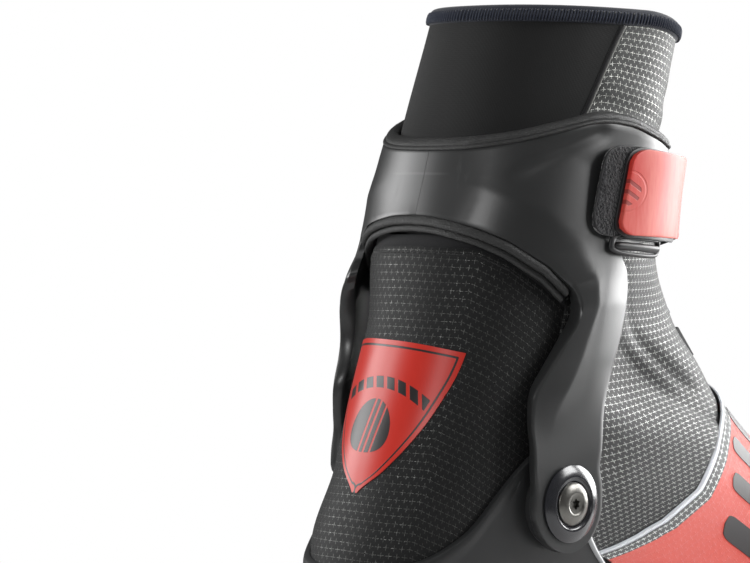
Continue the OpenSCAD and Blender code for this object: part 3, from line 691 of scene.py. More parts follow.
def shell_piece(name, nu, outline, at, finish, body, replaces=(), sharp=35):
    """A solid swept in u with a closed outline of (v, h), h from 0 inside to 1 outside."""
    count = len(outline)

    def surface(u, v, lift):
        across, height = outline[round(v * count) % count]
        return at(u, across, height)
    bm = laid_grid(nu, count, surface, ring=True)
    bmesh.ops.holes_fill(bm, edges=[e for e in bm.edges if e.is_boundary])
    bmesh.ops.recalc_face_normals(bm, faces=bm.faces)
    return add_piece(name, bm, finish, body, replaces, sharp=sharp)


def edge_outline(outer, inner, bevel=0.02):
    """A closed outline with chamfered corners for shell_piece."""
    top = [(mix(bevel, 1 - bevel, i / outer), 1.0) for i in range(outer + 1)]
    bottom = [(mix(1 - bevel / 2, bevel / 2, i / inner), 0.0) for i in range(inner + 1)]
    return (top + [(1 - bevel * 0.25, 0.93), (1, 0.78), (1, 0.14)]
            + bottom + [(0, 0.14), (0, 0.78), (bevel * 0.25, 0.93)])


def on_side(side, radius, angle, out):
    """A point round the pivot's axis; side is -1 on the outer side."""
    a = math.radians(angle)
    return Vector((PIVOT.x + radius * MM * math.sin(a), side * out * MM, PIVOT.z + radius * MM * math.cos(a)))


def turned(name, side, profile, finish, body, replaces=(), steps=72, sharp=30):
    """A profile of (radius, distance out from the middle plane) spun round the pivot."""
    bm = bmesh.new()
    verts = [bm.verts.new(on_side(side, r, 0, out)) for r, out in profile]
    edges = [bm.edges.new(pair) for pair in zip(verts, verts[1:])]
    bmesh.ops.spin(bm, geom=verts + edges, cent=PIVOT, axis=(0, 1, 0), dvec=(0, 0, 0),
                   angle=2 * math.pi, steps=steps, use_merge=True)
    bmesh.ops.remove_doubles(bm, verts=bm.verts, dist=1e-6)
    bmesh.ops.recalc_face_normals(bm, faces=bm.faces)
    return add_piece(name, bm, finish, body, replaces, sharp=sharp)


def stitch_mesh(path, count, length, width, height, tilt=0.0):
    """Rows of small thread beads along path(t), which gives a point in the row frame."""
    bm = bmesh.new()
    for k in range(count):
        t = (k + 0.5) / count
        point, ahead, lift = path(t), path(min(t + 0.002, 1)), path(t, 1.0)
        behind = path(max(t - 0.002, 0))
        direction = (ahead - behind).normalized()
        up = (lift - point).normalized()
        side = up.cross(direction).normalized()
        direction = (direction * math.cos(tilt) + side * math.sin(tilt)).normalized()
        side = up.cross(direction).normalized()
        turn = Matrix((direction, side, up)).transposed().to_4x4()
        size = Matrix.Diagonal((length * MM / 2, width * MM / 2, height * MM / 2, 1))
        bmesh.ops.create_uvsphere(bm, u_segments=6, v_segments=5, radius=1,
                                  matrix=Matrix.Translation(point) @ turn @ size)
    return bm


def dress(node, finish, bevel=0.0):
    """Gives a CAD node its finish and, where it is given, softened edges."""
    obj = NODES[node]
    obj.data.materials.clear()
    obj.data.materials.append(finish)
    if bevel:
        weld = obj.modifiers.new("weld", "WELD")
        weld.merge_threshold = 1e-6
        soft = obj.modifiers.new("soft_edges", "BEVEL")
        soft.width, soft.segments, soft.limit_method = bevel * MM, 2, "ANGLE"
        soft.angle_limit = math.radians(40)


def spread(piece):
    """The flat size of a sheet piece, from its own map: width, length and area."""
    xs, ys = [], []
    for loop in piece.data.uv_layers[0].data:
        xs.append(loop.uv.x)
        ys.append(loop.uv.y)
    area = sum(p.area for p in piece.data.polygons) / 2
    width, length = (max(xs) - min(xs)) * MM, (max(ys) - min(ys)) * MM
    grow = max(1.0, area / (width * length) * 1.002)
    return (width * grow, length), area


def as_sheet(piece):
    flat, area = spread(piece)
    area >= 0.31 * flat[0] * flat[1]
    return piece


def bends_with_cuff(piece):
    """Ankle cloth: bakes the piece's placement into its mesh and leaves it on no body."""
    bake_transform(piece)
    return piece


make_camera()
make_studio()

CUFF_PLASTIC = cuff_plastic()
FRAME_PLASTIC = moulded("frame_plastic", (0.017, 0.0175, 0.018), rough=0.42, scuff=0.15)
# The pale grey of the wing edges is a painted highlight.
WING_EDGE_HIGHLIGHT = moulded("wing_edge_highlight_paint", (0.42, 0.43, 0.44), rough=0.35, scuff=0.1)
TRIM_PLASTIC = moulded("trim_plastic", (0.011, 0.011, 0.012), rough=0.45, scuff=0.1)
HOUSING_PLASTIC = moulded("housing_plastic", (0.02, 0.02, 0.022), rough=0.55, scuff=0.2)
BUSH_PLASTIC = moulded("bush_plastic", (0.6, 0.58, 0.53), rough=0.5, scuff=0.1)
NEOPRENE = neoprene()
PADDING = faux_leather("padding_leather", (0.020, 0.0202, 0.020))
# The front and the rear fabric are one cloth. The front copy's lighter base and brighter crosses are painted
# light; the rear copy's darker base and duller crosses are painted shade.
LIT_FRONT_FABRIC = cross_fabric("lit_front_fabric", (0.013, 0.0135, 0.014), (0.21, 0.215, 0.205), 0.9, 0.25)
SHADED_REAR_FABRIC = cross_fabric("rear_fabric", (0.0075, 0.0077, 0.008), (0.07, 0.071, 0.068), 0.9, 0.05)
GORE_FABRIC = cross_fabric("gore_fabric", (0.035, 0.037, 0.035), (0.2, 0.205, 0.19))
BLACK_CLOTH = plain_cloth("black_cloth", (0.008, 0.008, 0.009), pitch=0.6)
LINER_CLOTH = plain_cloth("liner_cloth", (0.035, 0.036, 0.038), pitch=0.9)
FOOTBED_CLOTH = plain_cloth("footbed_cloth", (0.10, 0.105, 0.115), pitch=1.1)
BOARD_FIBRE = plain_cloth("board_fibre", (0.30, 0.24, 0.16), pitch=1.3, sheen=0.0)
TONGUE_CLOTH = plain_cloth("tongue_cloth", (0.022, 0.023, 0.025), pitch=1.2)
UPPER_CLOTH = plain_cloth("upper_cloth", (0.014, 0.0145, 0.016), pitch=1.0)
HEM_CLOTH = thread_finish("hem_cloth", (0.013, 0.015, 0.022))
HEM_THREAD = thread_finish("hem_thread", (0.022, 0.026, 0.040))
BLACK_THREAD = thread_finish("black_thread", (0.012, 0.012, 0.012))
PALE_THREAD = thread_finish("pale_thread", (0.16, 0.16, 0.15))
LACE_BRAID = thread_finish("lace_braid", (0.01, 0.01, 0.011))
STRAP_WEB = plain_cloth("strap_webbing", (0.010, 0.010, 0.011), pitch=1.4, relief=0.0002)
LOOP_PILE = pile()
HOOKS = rubber("hook_plastic", (0.008, 0.008, 0.009), rough=0.8)
TAB_PLASTIC = tab_plastic()
EMBLEM_PRINT = emblem_print()
RED_PRINT = band_print()
GRAPHIC_INK = moulded("graphic_ink", (0.028, 0.024, 0.025), rough=0.5, scuff=0.1)
TAPE = reflective()
SOLE_RUBBER = rubber("sole_rubber", (0.012, 0.012, 0.013))
TOE_RUBBER = rubber("toe_rubber", (0.014, 0.0145, 0.016), rough=0.55)
STEEL = metal("bright_steel", (0.62, 0.63, 0.64), 0.28)
EYELET_METAL = metal("eyelet_metal", (0.34, 0.35, 0.36), 0.38)
GUN_METAL = metal("gun_metal", (0.20, 0.195, 0.18), 0.34)
CAP_PAINT = moulded("cap_paint", (0.016, 0.0165, 0.02), rough=0.2, grain=0.08, scuff=0.12, coat=0.4)

# ---------------------------------------------------------------- sole
SOLE_EDGE = [(-59, 1), (-56, 15), (-40, 26), (-5, 28), (60, 29), (110, 36), (160, 42),
             (203, 36), (229, 20), (239, 1)]
TRAY_LOW, TRAY_TOP = 6.1, 22


def sole_point(u, side):
    x, y = along(SOLE_EDGE, u * (len(SOLE_EDGE) - 1))
    return x, side * y + TOE_LEAN * clamp((x - 170) / 68) ** 2


def form_solid(first, last, off, nu=70, nv=64):
    """The form as a closed bmesh, for hollowing."""
    bm = laid_grid(nu, nv, lambda u, v, lift: form(mix(first, last, u), v * 360, off + lift), ring=True)
    bmesh.ops.holes_fill(bm, edges=[e for e in bm.edges if e.is_boundary])
    bmesh.ops.recalc_face_normals(bm, faces=bm.faces)
    return bm


def make_tray():
    """The sole tray: the outline extruded, hollowed where the foot sits."""
    bm = bmesh.new()
    steps = 60
    outline = ([sole_point(i / steps, 1) for i in range(steps + 1)]
               + [sole_point(i / steps, -1) for i in range(steps, -1, -1)])
    face = bm.faces.new([bm.verts.new(in_frame(x, y, TRAY_LOW)) for x, y in outline])
    raised = bmesh.ops.extrude_face_region(bm, geom=[face])
    top = [v for v in raised["geom"] if isinstance(v, bmesh.types.BMVert)]
    bmesh.ops.translate(bm, verts=top, vec=(0, 0, (TRAY_TOP - TRAY_LOW) * MM))
    rims = [e for e in bm.edges if abs(e.verts[0].co.z - e.verts[1].co.z) < 1e-6]
    bmesh.ops.recalc_face_normals(bm, faces=bm.faces)
    bmesh.ops.bevel(bm, geom=rims, offset=0.9 * MM, segments=3, profile=0.5, affect="EDGES", material=-1)
    tray = add_piece("sole_tray", bm, FRAME_PLASTIC, None, ["chassis"])
    cut(tray, form_solid(0.02, 8.4, 0.3))
    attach(tray, "boot")


# Top edge of the heel counter and its side wings, from the back to the front, and
# the points below it on the tray. Each is (section, angle).
COUNTER_TOP = ([(level(phi, z), phi) for phi, z in
                ((0, 67.5), (14, 67.8), (26, 69), (38, 71), (49, 76), (57, 82), (66, 93), (73, 101))]
               + [locate(x, z) for x, z in ((-9, 105), (4, 104), (13, 93), (17, 78),
                                            (28, 64), (45, 48), (68, 34), (100, 26))])
COUNTER_LOW = ([(6.9, phi) for phi in (0, 13, 24, 34, 43, 49, 54, 57)]
               + [locate(x, 19) for x in (-3, 4, 11, 19, 30, 44, 62, 96)])


def counter_point(u, v, h):
    """u from the front end of one wing round the heel to the other, v up, h out."""
    q = abs(2 * u - 1) * (len(COUNTER_TOP) - 1)
    side = 1 if u < 0.5 else -1
    s0, phi0 = along(COUNTER_LOW, q)
    s1, phi1 = along(COUNTER_TOP, q)
    rim = 0.5 * smooth((v - 0.86) / 0.06)
    return form(mix(s0, s1, v), side * mix(phi0, phi1, v), mix(0.4, 2.6 + rim, h))


def make_counter():
    shell_piece("heel_counter", 200, edge_outline(20, 6, 0.03), counter_point, FRAME_PLASTIC,
                "boot", ["chassis"])
    for side, word in ((1, "left"), (-1, "right")):
        boss = [(0, 38.7), (13.5, 38.7), (14.6, 39.2), (15, 40.2),
                (15, 41.7), (14.4, 42.4), (8, 42.5), (0, 42.5)]
        turned("pivot_boss_" + word, side, boss, FRAME_PLASTIC, "boot", ["chassis"])


def make_wing_edge_highlight():
    """A pale roll along the front edge of each wing; its pale colour is a painted highlight."""
    for side, word in ((1, "right"), (-1, "left")):
        def at(u, angle, side=side):
            q = mix(10.6, len(COUNTER_TOP) - 2, u) / (len(COUNTER_TOP) - 1)
            share = (1 + side * q) / 2
            a = math.radians(angle)
            r = 0.75 * smooth(min(u, 1 - u) / 0.06) + 0.02
            return counter_point(share, 0.985 + r * 0.012 * math.cos(a), 1 + r * 0.32 * math.sin(a))
        roll_piece("wing_trim_" + word, 60, 8, at, WING_EDGE_HIGHLIGHT, "boot")


make_tray()
make_counter()
make_wing_edge_highlight()
dress("outsole_front", SOLE_RUBBER, 0.3)
dress("outsole_heel", SOLE_RUBBER, 0.3)
dress("toe_bar", STEEL)
dress("toe_bar_housing", HOUSING_PLASTIC, 0.4)


# ---------------------------------------------------------------- foot
def form_patch(s0, s1, phi0, phi1, off, lift_by=None):
    """at(u, v, lift) for a patch between two sections and two angles."""
    def at(u, v, lift):
        extra = lift_by(u, v) if lift_by else 0
        return form(mix(s0, s1, u), mix(phi0, phi1, v), off + extra + lift)
    return at


skin_piece("insole_board", 50, 16, form_patch(0.95, 6.8, -41, 41, LINER_IN - 0.1), BOARD_T, BOARD_FIBRE,
           "boot", ["insole_board"])
footbed = skin_piece("footbed", 70, 24, lambda u, v, lift: form(
    mix(0.95, 6.8, u), mix(-41, 41, v), LINER_IN - 0.3 - BOARD_T - FOOTBED_T - lift), FOOTBED_T - 0.1,
    FOOTBED_CLOTH, "boot", ["footbed"], edge=0.7)
liner = skin_piece("liner_foot", 60, 60, form_patch(0.5, 7.6, 0, 360, LINER_OUT), 2.9, LINER_CLOTH,
                   "boot", ["liner_foot"], ring=True, cap=True)
skin_piece("vamp", 70, 80, form_patch(0.04, 4.4, 0, 360, UPPER_OUT), 1.5, UPPER_CLOTH,
           "boot", ["vamp"], ring=True, cap=True)
skin_piece("quarters", 50, 80, form_patch(4.43, 7.6, -148, 148, UPPER_OUT), 1.6, UPPER_CLOTH,
           "boot", ["quarters"])


def ridged(u, v):
    """Moulded ribs across the side rands, sunk at their ends."""
    wave = abs((u * 14) % 1 - 0.5) * 2
    return 0.5 * smooth((wave - 0.3) / 0.3) * smooth(min(v, 1 - v) / 0.25)


skin_piece("toe_cap", 50, 90, form_patch(0.2, 1.9, 64, 296, 1.7), 1.5, TOE_RUBBER, "boot",
           ["toe_cap"], edge=0.6)
for side, word in ((-1, "left"), (1, "right")):
    skin_piece("rand_" + word, 140, 14, form_patch(1.95, 4.3, side * 58, side * 78, 1.2, ridged), 1.1,
               TOE_RUBBER, "boot", ["rand_" + word], edge=0.3)

tongue = skin_piece("tongue", 60, 20, lambda u, v, lift: form(
    mix(4.45, level(round(mix(150, 210, v), 4), ANKLE_TOP), u), mix(150, 210, v), UPPER_OUT + lift), 1.6,
    TONGUE_CLOTH, None, ["tongue"], edge=0.4)
bends_with_cuff(tongue)

LACE_TURNS, LACE_REACH, LACE_R = 6, 25, 0.6
LACE_FOOT, LACE_HEAD = 4.7, 7.1


def lace_point(q, lift):
    """The lace's middle, swinging from one row of eyelets to the other."""
    k = clamp(q) * LACE_TURNS
    turn = int(min(k, LACE_TURNS - 0.001))
    w = smooth(k - turn)
    swing = LACE_REACH * ((1 - 2 * w) if turn % 2 == 0 else (2 * w - 1))
    return form(mix(LACE_FOOT, LACE_HEAD, clamp(q)), 180 + swing, LACE_R + 0.1 + lift)


def lace_surface(u, angle):
    centre = lace_point(u, 0)
    direction = lace_point(u + 0.004, 0) - lace_point(u - 0.004, 0)
    up = (lace_point(u, 1) - centre).normalized()
    across = direction.cross(up).normalized()
    a = math.radians(angle)
    return centre + (across * math.cos(a) + up * math.sin(a)) * LACE_R * MM


roll_piece("lace", 140, 10, lace_surface, LACE_BRAID, "boot", ["lace"])
dress("eyelets", EYELET_METAL)


# ---------------------------------------------------------------- covers and instep band
COVER_T = 1.0
PIPING = [(80, 6.75), (85, 6.5), (93, 6.16), (105, 5.92), (122, 5.84), (150, 5.8), (180, 5.8)]
PIPING_HALF = 0.045
ZIP_EDGE = 171.5


def cover_out(phi):
    return 0.3 + COVER_T + 1.6 * smooth((55 - abs(phi - 180)) / 30)


def piping_s(phi):
    return lookup(PIPING, phi)


def folds(side, s, phi):
    """Soft folds of the front cover, deepest where the ankle bends."""
    z = form_mm(s, phi)[2]
    bend = math.exp(-((z - 128) / 26) ** 2)
    wave = math.sin(0.19 * (z + 0.38 * (phi - 130)) + side * 0.8) * 0.5
    wave += math.sin(0.11 * (z - 0.9 * (phi - 120)) + 1.3) * 0.5
    edge = smooth((phi - 84) / 14) * smooth((170 - phi) / 14)
    crease = (math.exp(-((z - 150 + 1.5 * (phi - 118)) / 5) ** 2)
              + math.exp(-((z - 128 + 1.1 * (phi - 122)) / 6) ** 2))
    lower = math.exp(-((z - 104) / 10) ** 2) * math.exp(-((phi - 118) / 22) ** 2)
    return max(edge * (2.0 * bend * wave + 0.8 * lower - 1.1 * crease * bend), -0.9)


def cover_at(side):
    def at(u, v, lift):
        phi = mix(81, ZIP_EDGE, v)
        low = piping_s(phi) + PIPING_HALF + 0.012
        s = mix(low, level(round(phi, 4), ANKLE_TOP - 1), u)
        return form(s, side * phi, cover_out(phi) + folds(side, s, phi) + lift)
    return at


def band_low(u):
    return mix(62, 82, smooth((u - 0.2) / 0.8))


def band_at(side):
    def at(u, v, lift):
        phi = mix(band_low(u), ZIP_EDGE, v)
        s = mix(4.4, piping_s(phi) - PIPING_HALF - 0.008, u)
        return form(s, side * phi, cover_out(phi) + lift)
    return at


def from_piping(side):
    def value(u, v):
        at = band_at(side)
        return (at(1, v, 0) - at(u, v, 0)).length / MM
    return value


def piping_at(side):
    def at(u, v, lift):
        phi = mix(80, ZIP_EDGE, u)
        crown = 0.7 * (1 - (2 * v - 1) ** 2)
        s = piping_s(phi) + mix(-1, 1, v) * PIPING_HALF
        return form(s, side * phi, cover_out(phi) + 0.1 + crown + lift)
    return at


def graphic_at(side, k):
    """Slanted rounded bars printed on the band."""
    def at(u, v, lift):
        pinch = (1 - (2 * u - 1) ** 6) ** 0.35 if 0 < u < 1 else 0.0
        middle = 96 + 17 * k + 5 * (u - 0.5)
        phi = middle + (v - 0.5) * 8 * pinch
        s = mix(4.85, 5.42, u) + 0.06 * k
        return form(s, side * phi, cover_out(phi) + 0.2 + lift)
    return at


for side, word in ((-1, "left"), (1, "right")):
    cover = skin_piece("front_cover_" + word, 110, 90, cover_at(side), COVER_T, LIT_FRONT_FABRIC,
                       None, ["front_cover_" + word], from_top=True)
    bends_with_cuff(as_sheet(cover))
    band = skin_piece("instep_band_" + word, 60, 80, band_at(side), COVER_T, RED_PRINT, "boot",
                      ["instep_band_" + word], from_top=True, marks={"from_piping": from_piping(side)})
    as_sheet(band)
    skin_piece("band_piping_" + word, 90, 6, piping_at(side), 1.2, TAPE, "boot",
               ["band_piping_" + word])

for side, word in ((-1, "left"), (1, "right")):
    for k in range(4):
        skin_piece(f"band_graphic_{word}_{k}", 24, 6, graphic_at(side, k), 0.25, GRAPHIC_INK,
                   "boot", ["band_graphic"])


# ---------------------------------------------------------------- zip
dress("zip_tape", BLACK_CLOTH)
dress("zip_teeth", TRIM_PLASTIC)
dress("zip_slider", metal("slider_metal", (0.3, 0.31, 0.32), 0.35), 0.5)
dress("zip_pull", TRIM_PLASTIC, 0.5)


# ---------------------------------------------------------------- ankle cloth
def hollow(phi, z):
    """The rear cloth draws in behind the inner arm."""
    turn = (phi + 42) / 34
    return -4.2 * math.exp(-turn * turn) * smooth((z - 74) / 22) * (1 - smooth((z - 140) / 30))


def liner_at(u, v, lift):
    phi = v * 360 - 180
    s = mix(7.65, level(round(phi, 4), ANKLE_TOP), u)
    return form(s, phi, LINER_OUT - 0.3 + hollow(phi, form_mm(s, phi)[2]) + lift)


liner_ankle = skin_piece("liner_ankle", 40, 60, liner_at, 2.9, LINER_CLOTH, None,
                         ["liner_ankle"], ring=True)
bends_with_cuff(liner_ankle)

def rear_at(u, v, lift):
    phi = mix(-148, 148, v)
    s = mix(7.65, level(round(phi, 4), ANKLE_TOP), u)
    return form(s, phi, UPPER_OUT + hollow(phi, form_mm(s, phi)[2]) + lift)


rear = skin_piece("rear_panel", 60, 100, rear_at, 1.6, BLACK_CLOTH, None, ["rear_panel"])
bends_with_cuff(as_sheet(rear))

FACING_EDGE = [(0, 172.6), (34, 172), (50, 167.5), (67, 160), (80, 153), (95, 146)]
FACING_OUT = 0.45


def facing_top(phi):
    return lookup(FACING_EDGE, abs(phi))


def facing_at(u, v, lift):
    phi = mix(-92, 92, v)
    swell = 0.5 * math.exp(-((u - 0.97) / 0.03) ** 2)
    s = mix(7.2, level(round(phi, 4), round(facing_top(phi), 4)), u)
    return form(s, phi, FACING_OUT + hollow(phi, form_mm(s, phi)[2]) + swell * 0.4 + lift)


facing = skin_piece("rear_facing", 110, 120, facing_at, 0.5, SHADED_REAR_FABRIC, None,
                    ["rear_panel"], from_top=True, edge=0.15)
bends_with_cuff(as_sheet(facing))


def facing_stitches(t, lift=0.0):
    phi = mix(-64, 64, t)
    z = facing_top(phi) - 2.2
    return shaft(phi, z, FACING_OUT + hollow(phi, z) + 0.15 + lift)


bends_with_cuff(add_piece("rear_facing_stitches", stitch_mesh(facing_stitches, 50, 1.9, 0.6, 0.5),
                          BLACK_THREAD))

SHIELD = [(1,), (12,), (21,), (28,), (33,), (37,), (39,)]
EMBLEM_LOW, EMBLEM_H = PIVOT_Z + 3, 47


def emblem_half(u):
    return along(SHIELD, u * (len(SHIELD) - 1))[0]


def emblem_at(u, v, lift):
    across = mix(-1, 1, v)
    z = EMBLEM_LOW + EMBLEM_H * u + 3 * smooth(u) * math.cos(math.radians(90 * across))
    phi = across * emblem_half(u)
    return shaft(phi, z, FACING_OUT + 0.35 + hollow(phi, z) + lift)


def emblem_edge(u, v):
    """Distance in mm from the emblem's outline."""
    here = emblem_at(u, v, 0)
    side = min((here - emblem_at(max(u + du, 0.02), e, 0)).length for e in (0, 1)
               for du in (-0.14, -0.1, -0.05, 0, 0.05))
    top = (here - emblem_at(1, v, 0)).length
    return min(side, top) / MM


emblem = skin_piece("heel_emblem", 90, 80, emblem_at, 0.3, EMBLEM_PRINT, None, ["heel_emblem"],
                    marks={"from_edge": emblem_edge}, edge=0.0)
bends_with_cuff(emblem)


# ---------------------------------------------------------------- collar
COLLAR_T = 3.0
COLLAR_LOW = ANKLE_TOP + 1


def seam_phi(z):
    return 89 - 0.5 * (COLLAR_TOP - z)


def collar_z(u):
    return mix(COLLAR_LOW, COLLAR_TOP - HEM_H + 1, u)


def rise(phi, z):
    """The collar stands higher at the back and the sides than in front, and leans in."""
    t = smooth((z - 206) / 44)
    turn = abs((phi + 180) % 360 - 180)
    back = 1 - smooth((turn - 70) / 60)
    return 4.2 * t * (1 - smooth((turn - 96) / 50)), -2.4 * t * back


def ankle(phi, z, off=0.0):
    up, lean = rise(phi, z)
    return shaft(phi, z, off + lean) + Vector((0, 0, up * MM))


def collar_at(u, v, lift):
    z = collar_z(u)
    return ankle(mix(-1, 1, v) * seam_phi(z), z, 0 + lift)


def gore_at(u, v, lift):
    z = collar_z(u)
    phi = mix(seam_phi(z) + 0.3, 359.7 - seam_phi(z), v)
    crease = 0.35 * math.sin(z * 0.5 + phi * 0.09) * math.exp(-((z - 214) / 14) ** 2)
    return ankle(phi, z, crease + lift)


collar = skin_piece("collar", 50, 90, collar_at, COLLAR_T, NEOPRENE, "cuff_assembly",
                    ["collar"])
gore = skin_piece("collar_gore", 60, 90, gore_at, COLLAR_T, GORE_FABRIC, "cuff_assembly",
                  ["collar_gore"], from_top=True)

for side, word in ((-1, "left"), (1, "right")):
    def gore_edge(u, angle, side=side):
        z = mix(COLLAR_LOW + 2, COLLAR_TOP - HEM_H, u)
        a = math.radians(angle)
        return ankle(side * (seam_phi(z) - 0.4 + 1.15 * math.cos(a)), z, 0.15 + 0.75 * math.sin(a))
    roll_piece("gore_piping_" + word, 60, 12, gore_edge, BLACK_CLOTH, "cuff_assembly",
               ["gore_piping_" + word])

    def gore_stitches(t, lift=0.0, side=side):
        z = mix(CUFF_TOP - 4, COLLAR_TOP - HEM_H - 1, t)
        return ankle(side * (seam_phi(z) + 1.9), z, 0.12 + lift)
    add_piece(f"gore_stitches_{word}", stitch_mesh(gore_stitches, 15, 1.7, 0.45, 0.5), BLACK_THREAD,
              "cuff_assembly")

    def gore_rib(u, angle, side=side):
        z = mix(COLLAR_LOW + 2, COLLAR_TOP - HEM_H, u)
        a = math.radians(angle)
        return ankle(side * (seam_phi(z) + 0.85 + 0.4 * math.cos(a)), z, 0.5 + 0.3 * math.sin(a))
    roll_piece("gore_rib_" + word, 60, 8, gore_rib, PALE_THREAD, "cuff_assembly")


def hem_at(u, angle):
    """The bound edge: an upright roll over the collar's rim."""
    a = math.radians(angle)
    z = COLLAR_TOP - HEM_H / 2 - HEM_H / 2 * math.copysign(abs(math.cos(a)) ** 0.7, math.cos(a))
    off = -COLLAR_T / 2 + (COLLAR_T / 2 + 1.0) * math.copysign(abs(math.sin(a)) ** 0.8, math.sin(a))
    return ankle(u * 360, z, off)


hem = roll_piece("collar_hem", 140, 24, hem_at, HEM_CLOTH, "cuff_assembly", ["collar_hem"],
                 closed=True)
HEM_STITCHES = 230
STITCH_SLANT = 0.35


def hem_loops():
    """Overlock thread: slanted loops over the hem's face and knots along its lower edge."""
    bm = bmesh.new()
    for k in range(HEM_STITCHES):
        phi = 360 * k / HEM_STITCHES
        jitter = random.uniform(-0.15, 0.15)
        low = ankle(phi + jitter, COLLAR_TOP - HEM_H + 0.35, 1.0)
        high = ankle(phi + STITCH_SLANT + jitter, COLLAR_TOP - 1.1, 1.05)
        outer = ankle(phi, COLLAR_TOP - HEM_H / 2, 2.0) - ankle(phi, COLLAR_TOP - HEM_H / 2, 1.0)
        direction = (high - low).normalized()
        up = outer.normalized()
        side = up.cross(direction).normalized()
        up = direction.cross(side)
        turn = Matrix((direction, side, up)).transposed().to_4x4()
        size = Matrix.Diagonal(((high - low).length / 2, 0.33 * MM, 0.6 * MM, 1))
        centre = (high + low) / 2 + outer * 0.12
        bmesh.ops.create_uvsphere(bm, u_segments=6, v_segments=5, radius=1,
                                  matrix=Matrix.Translation(centre) @ turn @ size)
    return bm


add_piece("hem_overlock", hem_loops(), HEM_THREAD, "cuff_assembly", sharp=0)


def hem_chain(t, lift=0.0):
    return ankle(360 * t, COLLAR_TOP - HEM_H + 4.1, 1.12 + lift)


add_piece("hem_chain", stitch_mesh(hem_chain, 115, 0.9, 0.5, 0.4), PALE_THREAD, "cuff_assembly",
          sharp=0)

# ---------------------------------------------------------------- cuff
# Edges of the cuff from the outer pivot to the middle of the back: angle and height
# of the inner edge, then of the outer edge, heights as a share of pivot to top.
CUFF = [
    (74, 0, 90, 0), (73, 0.08, 91, 0.08), (72, 0.154, 93, 0.14), (70, 0.22, 96, 0.24),
    (70, 0.293, 100, 0.346), (74, 0.355, 103, 0.43), (79, 0.43, 104, 0.51), (82, 0.48, 103, 0.58),
    (82, 0.515, 96, 0.65), (80, 0.545, 94, 0.695), (77, 0.57, 106, 0.71), (73, 0.59, 124, 0.72),
    (69, 0.61, 133, 0.77), (65, 0.628, 134, 0.86), (60, 0.645, 130, 0.92), (54, 0.665, 119, 0.94),
    (47, 0.688, 103, 0.968), (40, 0.705, 88, 0.996), (33, 0.72, 75, 0.998), (25, 0.733, 58, 0.972),
    (16, 0.745, 39, 0.945), (8, 0.753, 19, 0.93), (0, 0.756, 0, 0.927)]
CUFF_END = len(CUFF) - 1
CUFF_SPAN = CUFF_TOP - PIVOT_Z
CUFF_IN, CUFF_WALL = 2.0, 3.0
EYE_IN, EYE_OUT, EYE_R = 42.8, 46.3, 16.5
EYE_ROWS = 6
BORE_R = 9.15
# The ridge that parts the cuff's facets, and the crease below its upper edge, as angle and height
CREST = [(12, 195.5), (30, 193.5), (60, 185.6), (76, 175), (86, 163),
         (88, 154), (85, 137), (80, 120), (77, 100)]
CREASE = [(38, 196.5), (50, 200.5), (63, 206), (78, 211.5)]
MM_PER_DEGREE = 0.7


def line_gap(line, phi, z):
    """Distance in mm from a line of (angle, height), the share along it and the side."""
    best, share, above = 1e9, 0.0, False
    px, pz = phi * MM_PER_DEGREE, z
    for i, ((a0, z0), (a1, z1)) in enumerate(zip(line, line[1:])):
        x0, x1 = a0 * MM_PER_DEGREE, a1 * MM_PER_DEGREE
        dx, dz = x1 - x0, z1 - z0
        t = clamp(((px - x0) * dx + (pz - z0) * dz) / (dx * dx + dz * dz))
        d = math.hypot(px - x0 - t * dx, pz - z0 - t * dz)
        if d < best:
            best, share = d, (i + t) / (len(line) - 1)
            above = dx * (pz - z0) > dz * (px - x0)
    return best, share, above


def facets(phi, z):
    """Relief of the cuff's outer face in mm."""
    phi = abs(phi)
    d, share, above = line_gap(CREST, phi, z)
    arm = smooth((share - 0.35) / 0.2)
    reach = mix(19, 12, arm) if above else mix(16, 13, arm)
    fade = smooth((z - PIVOT_Z - 16) / 26)
    ridge = mix(1.9, 3.9, arm) * (1 - clamp(d / reach)) * smooth(share / 0.22) * fade
    d, share, above = line_gap(CREASE, phi, z)
    valley = 0.95 * math.exp(-(d / 2.6) ** 2) * smooth(share / 0.4)
    return ridge - valley


def cuff_row(k):
    """Angle and height share of the inner and outer edges at row k."""
    return along(CUFF, max(k, 0))


def cuff_angle(k, v):
    q = cuff_row(k)
    return mix(q[0], q[2], v), PIVOT_Z + CUFF_SPAN * mix(q[1], q[3], v)


def cuff_point(u, v, h):
    """u from the outer pivot's eye over the back to the inner one, v across, h out."""
    k = (1 - abs(2 * u - 1)) * (CUFF_END + EYE_ROWS) - EYE_ROWS
    side = 1 if u < 0.5 else -1
    phi, z = cuff_angle(k, v)
    share = (z - PIVOT_Z) / CUFF_SPAN
    off = mix(CUFF_IN, CUFF_IN + CUFF_WALL + facets(phi, z), h)
    if side < 0:
        wide = 4 + 6 * smooth((share - 0.15) / 0.2) + 20 * math.exp(-((share - 0.55) / 0.12) ** 2)
        phi -= wide * (1 - smooth((share - 0.59) / 0.14)) * (1 - v) ** 1.5
        off += 2.2 * smooth((share - 0.2) / 0.2) * (1 - smooth((share - 0.55) / 0.25))
    point = shaft(phi, z, off)
    flat = 1 - smooth((share - 0.1) / 0.27) if k > 0 else 1.0
    y = -mix(EYE_IN, EYE_OUT, h) * MM
    if k <= 0:
        a = math.radians(90 * (1 + k / EYE_ROWS))
        half, drop = EYE_R * math.sin(a), -EYE_R * math.cos(a)
        x, z_plate = mix(-half, half, v), PIVOT_Z + drop
    else:
        x, z_plate = mix(-EYE_R, EYE_R, v), z
    eye = 1 - smooth(k / (1.4 if side > 0 else 0.8))
    px = mix(point.x, (PIVOT.x / MM + x) * MM, eye)
    pz = mix(point.z, z_plate * MM, eye)
    return Vector((px, -side * -mix(point.y, y, flat), pz))


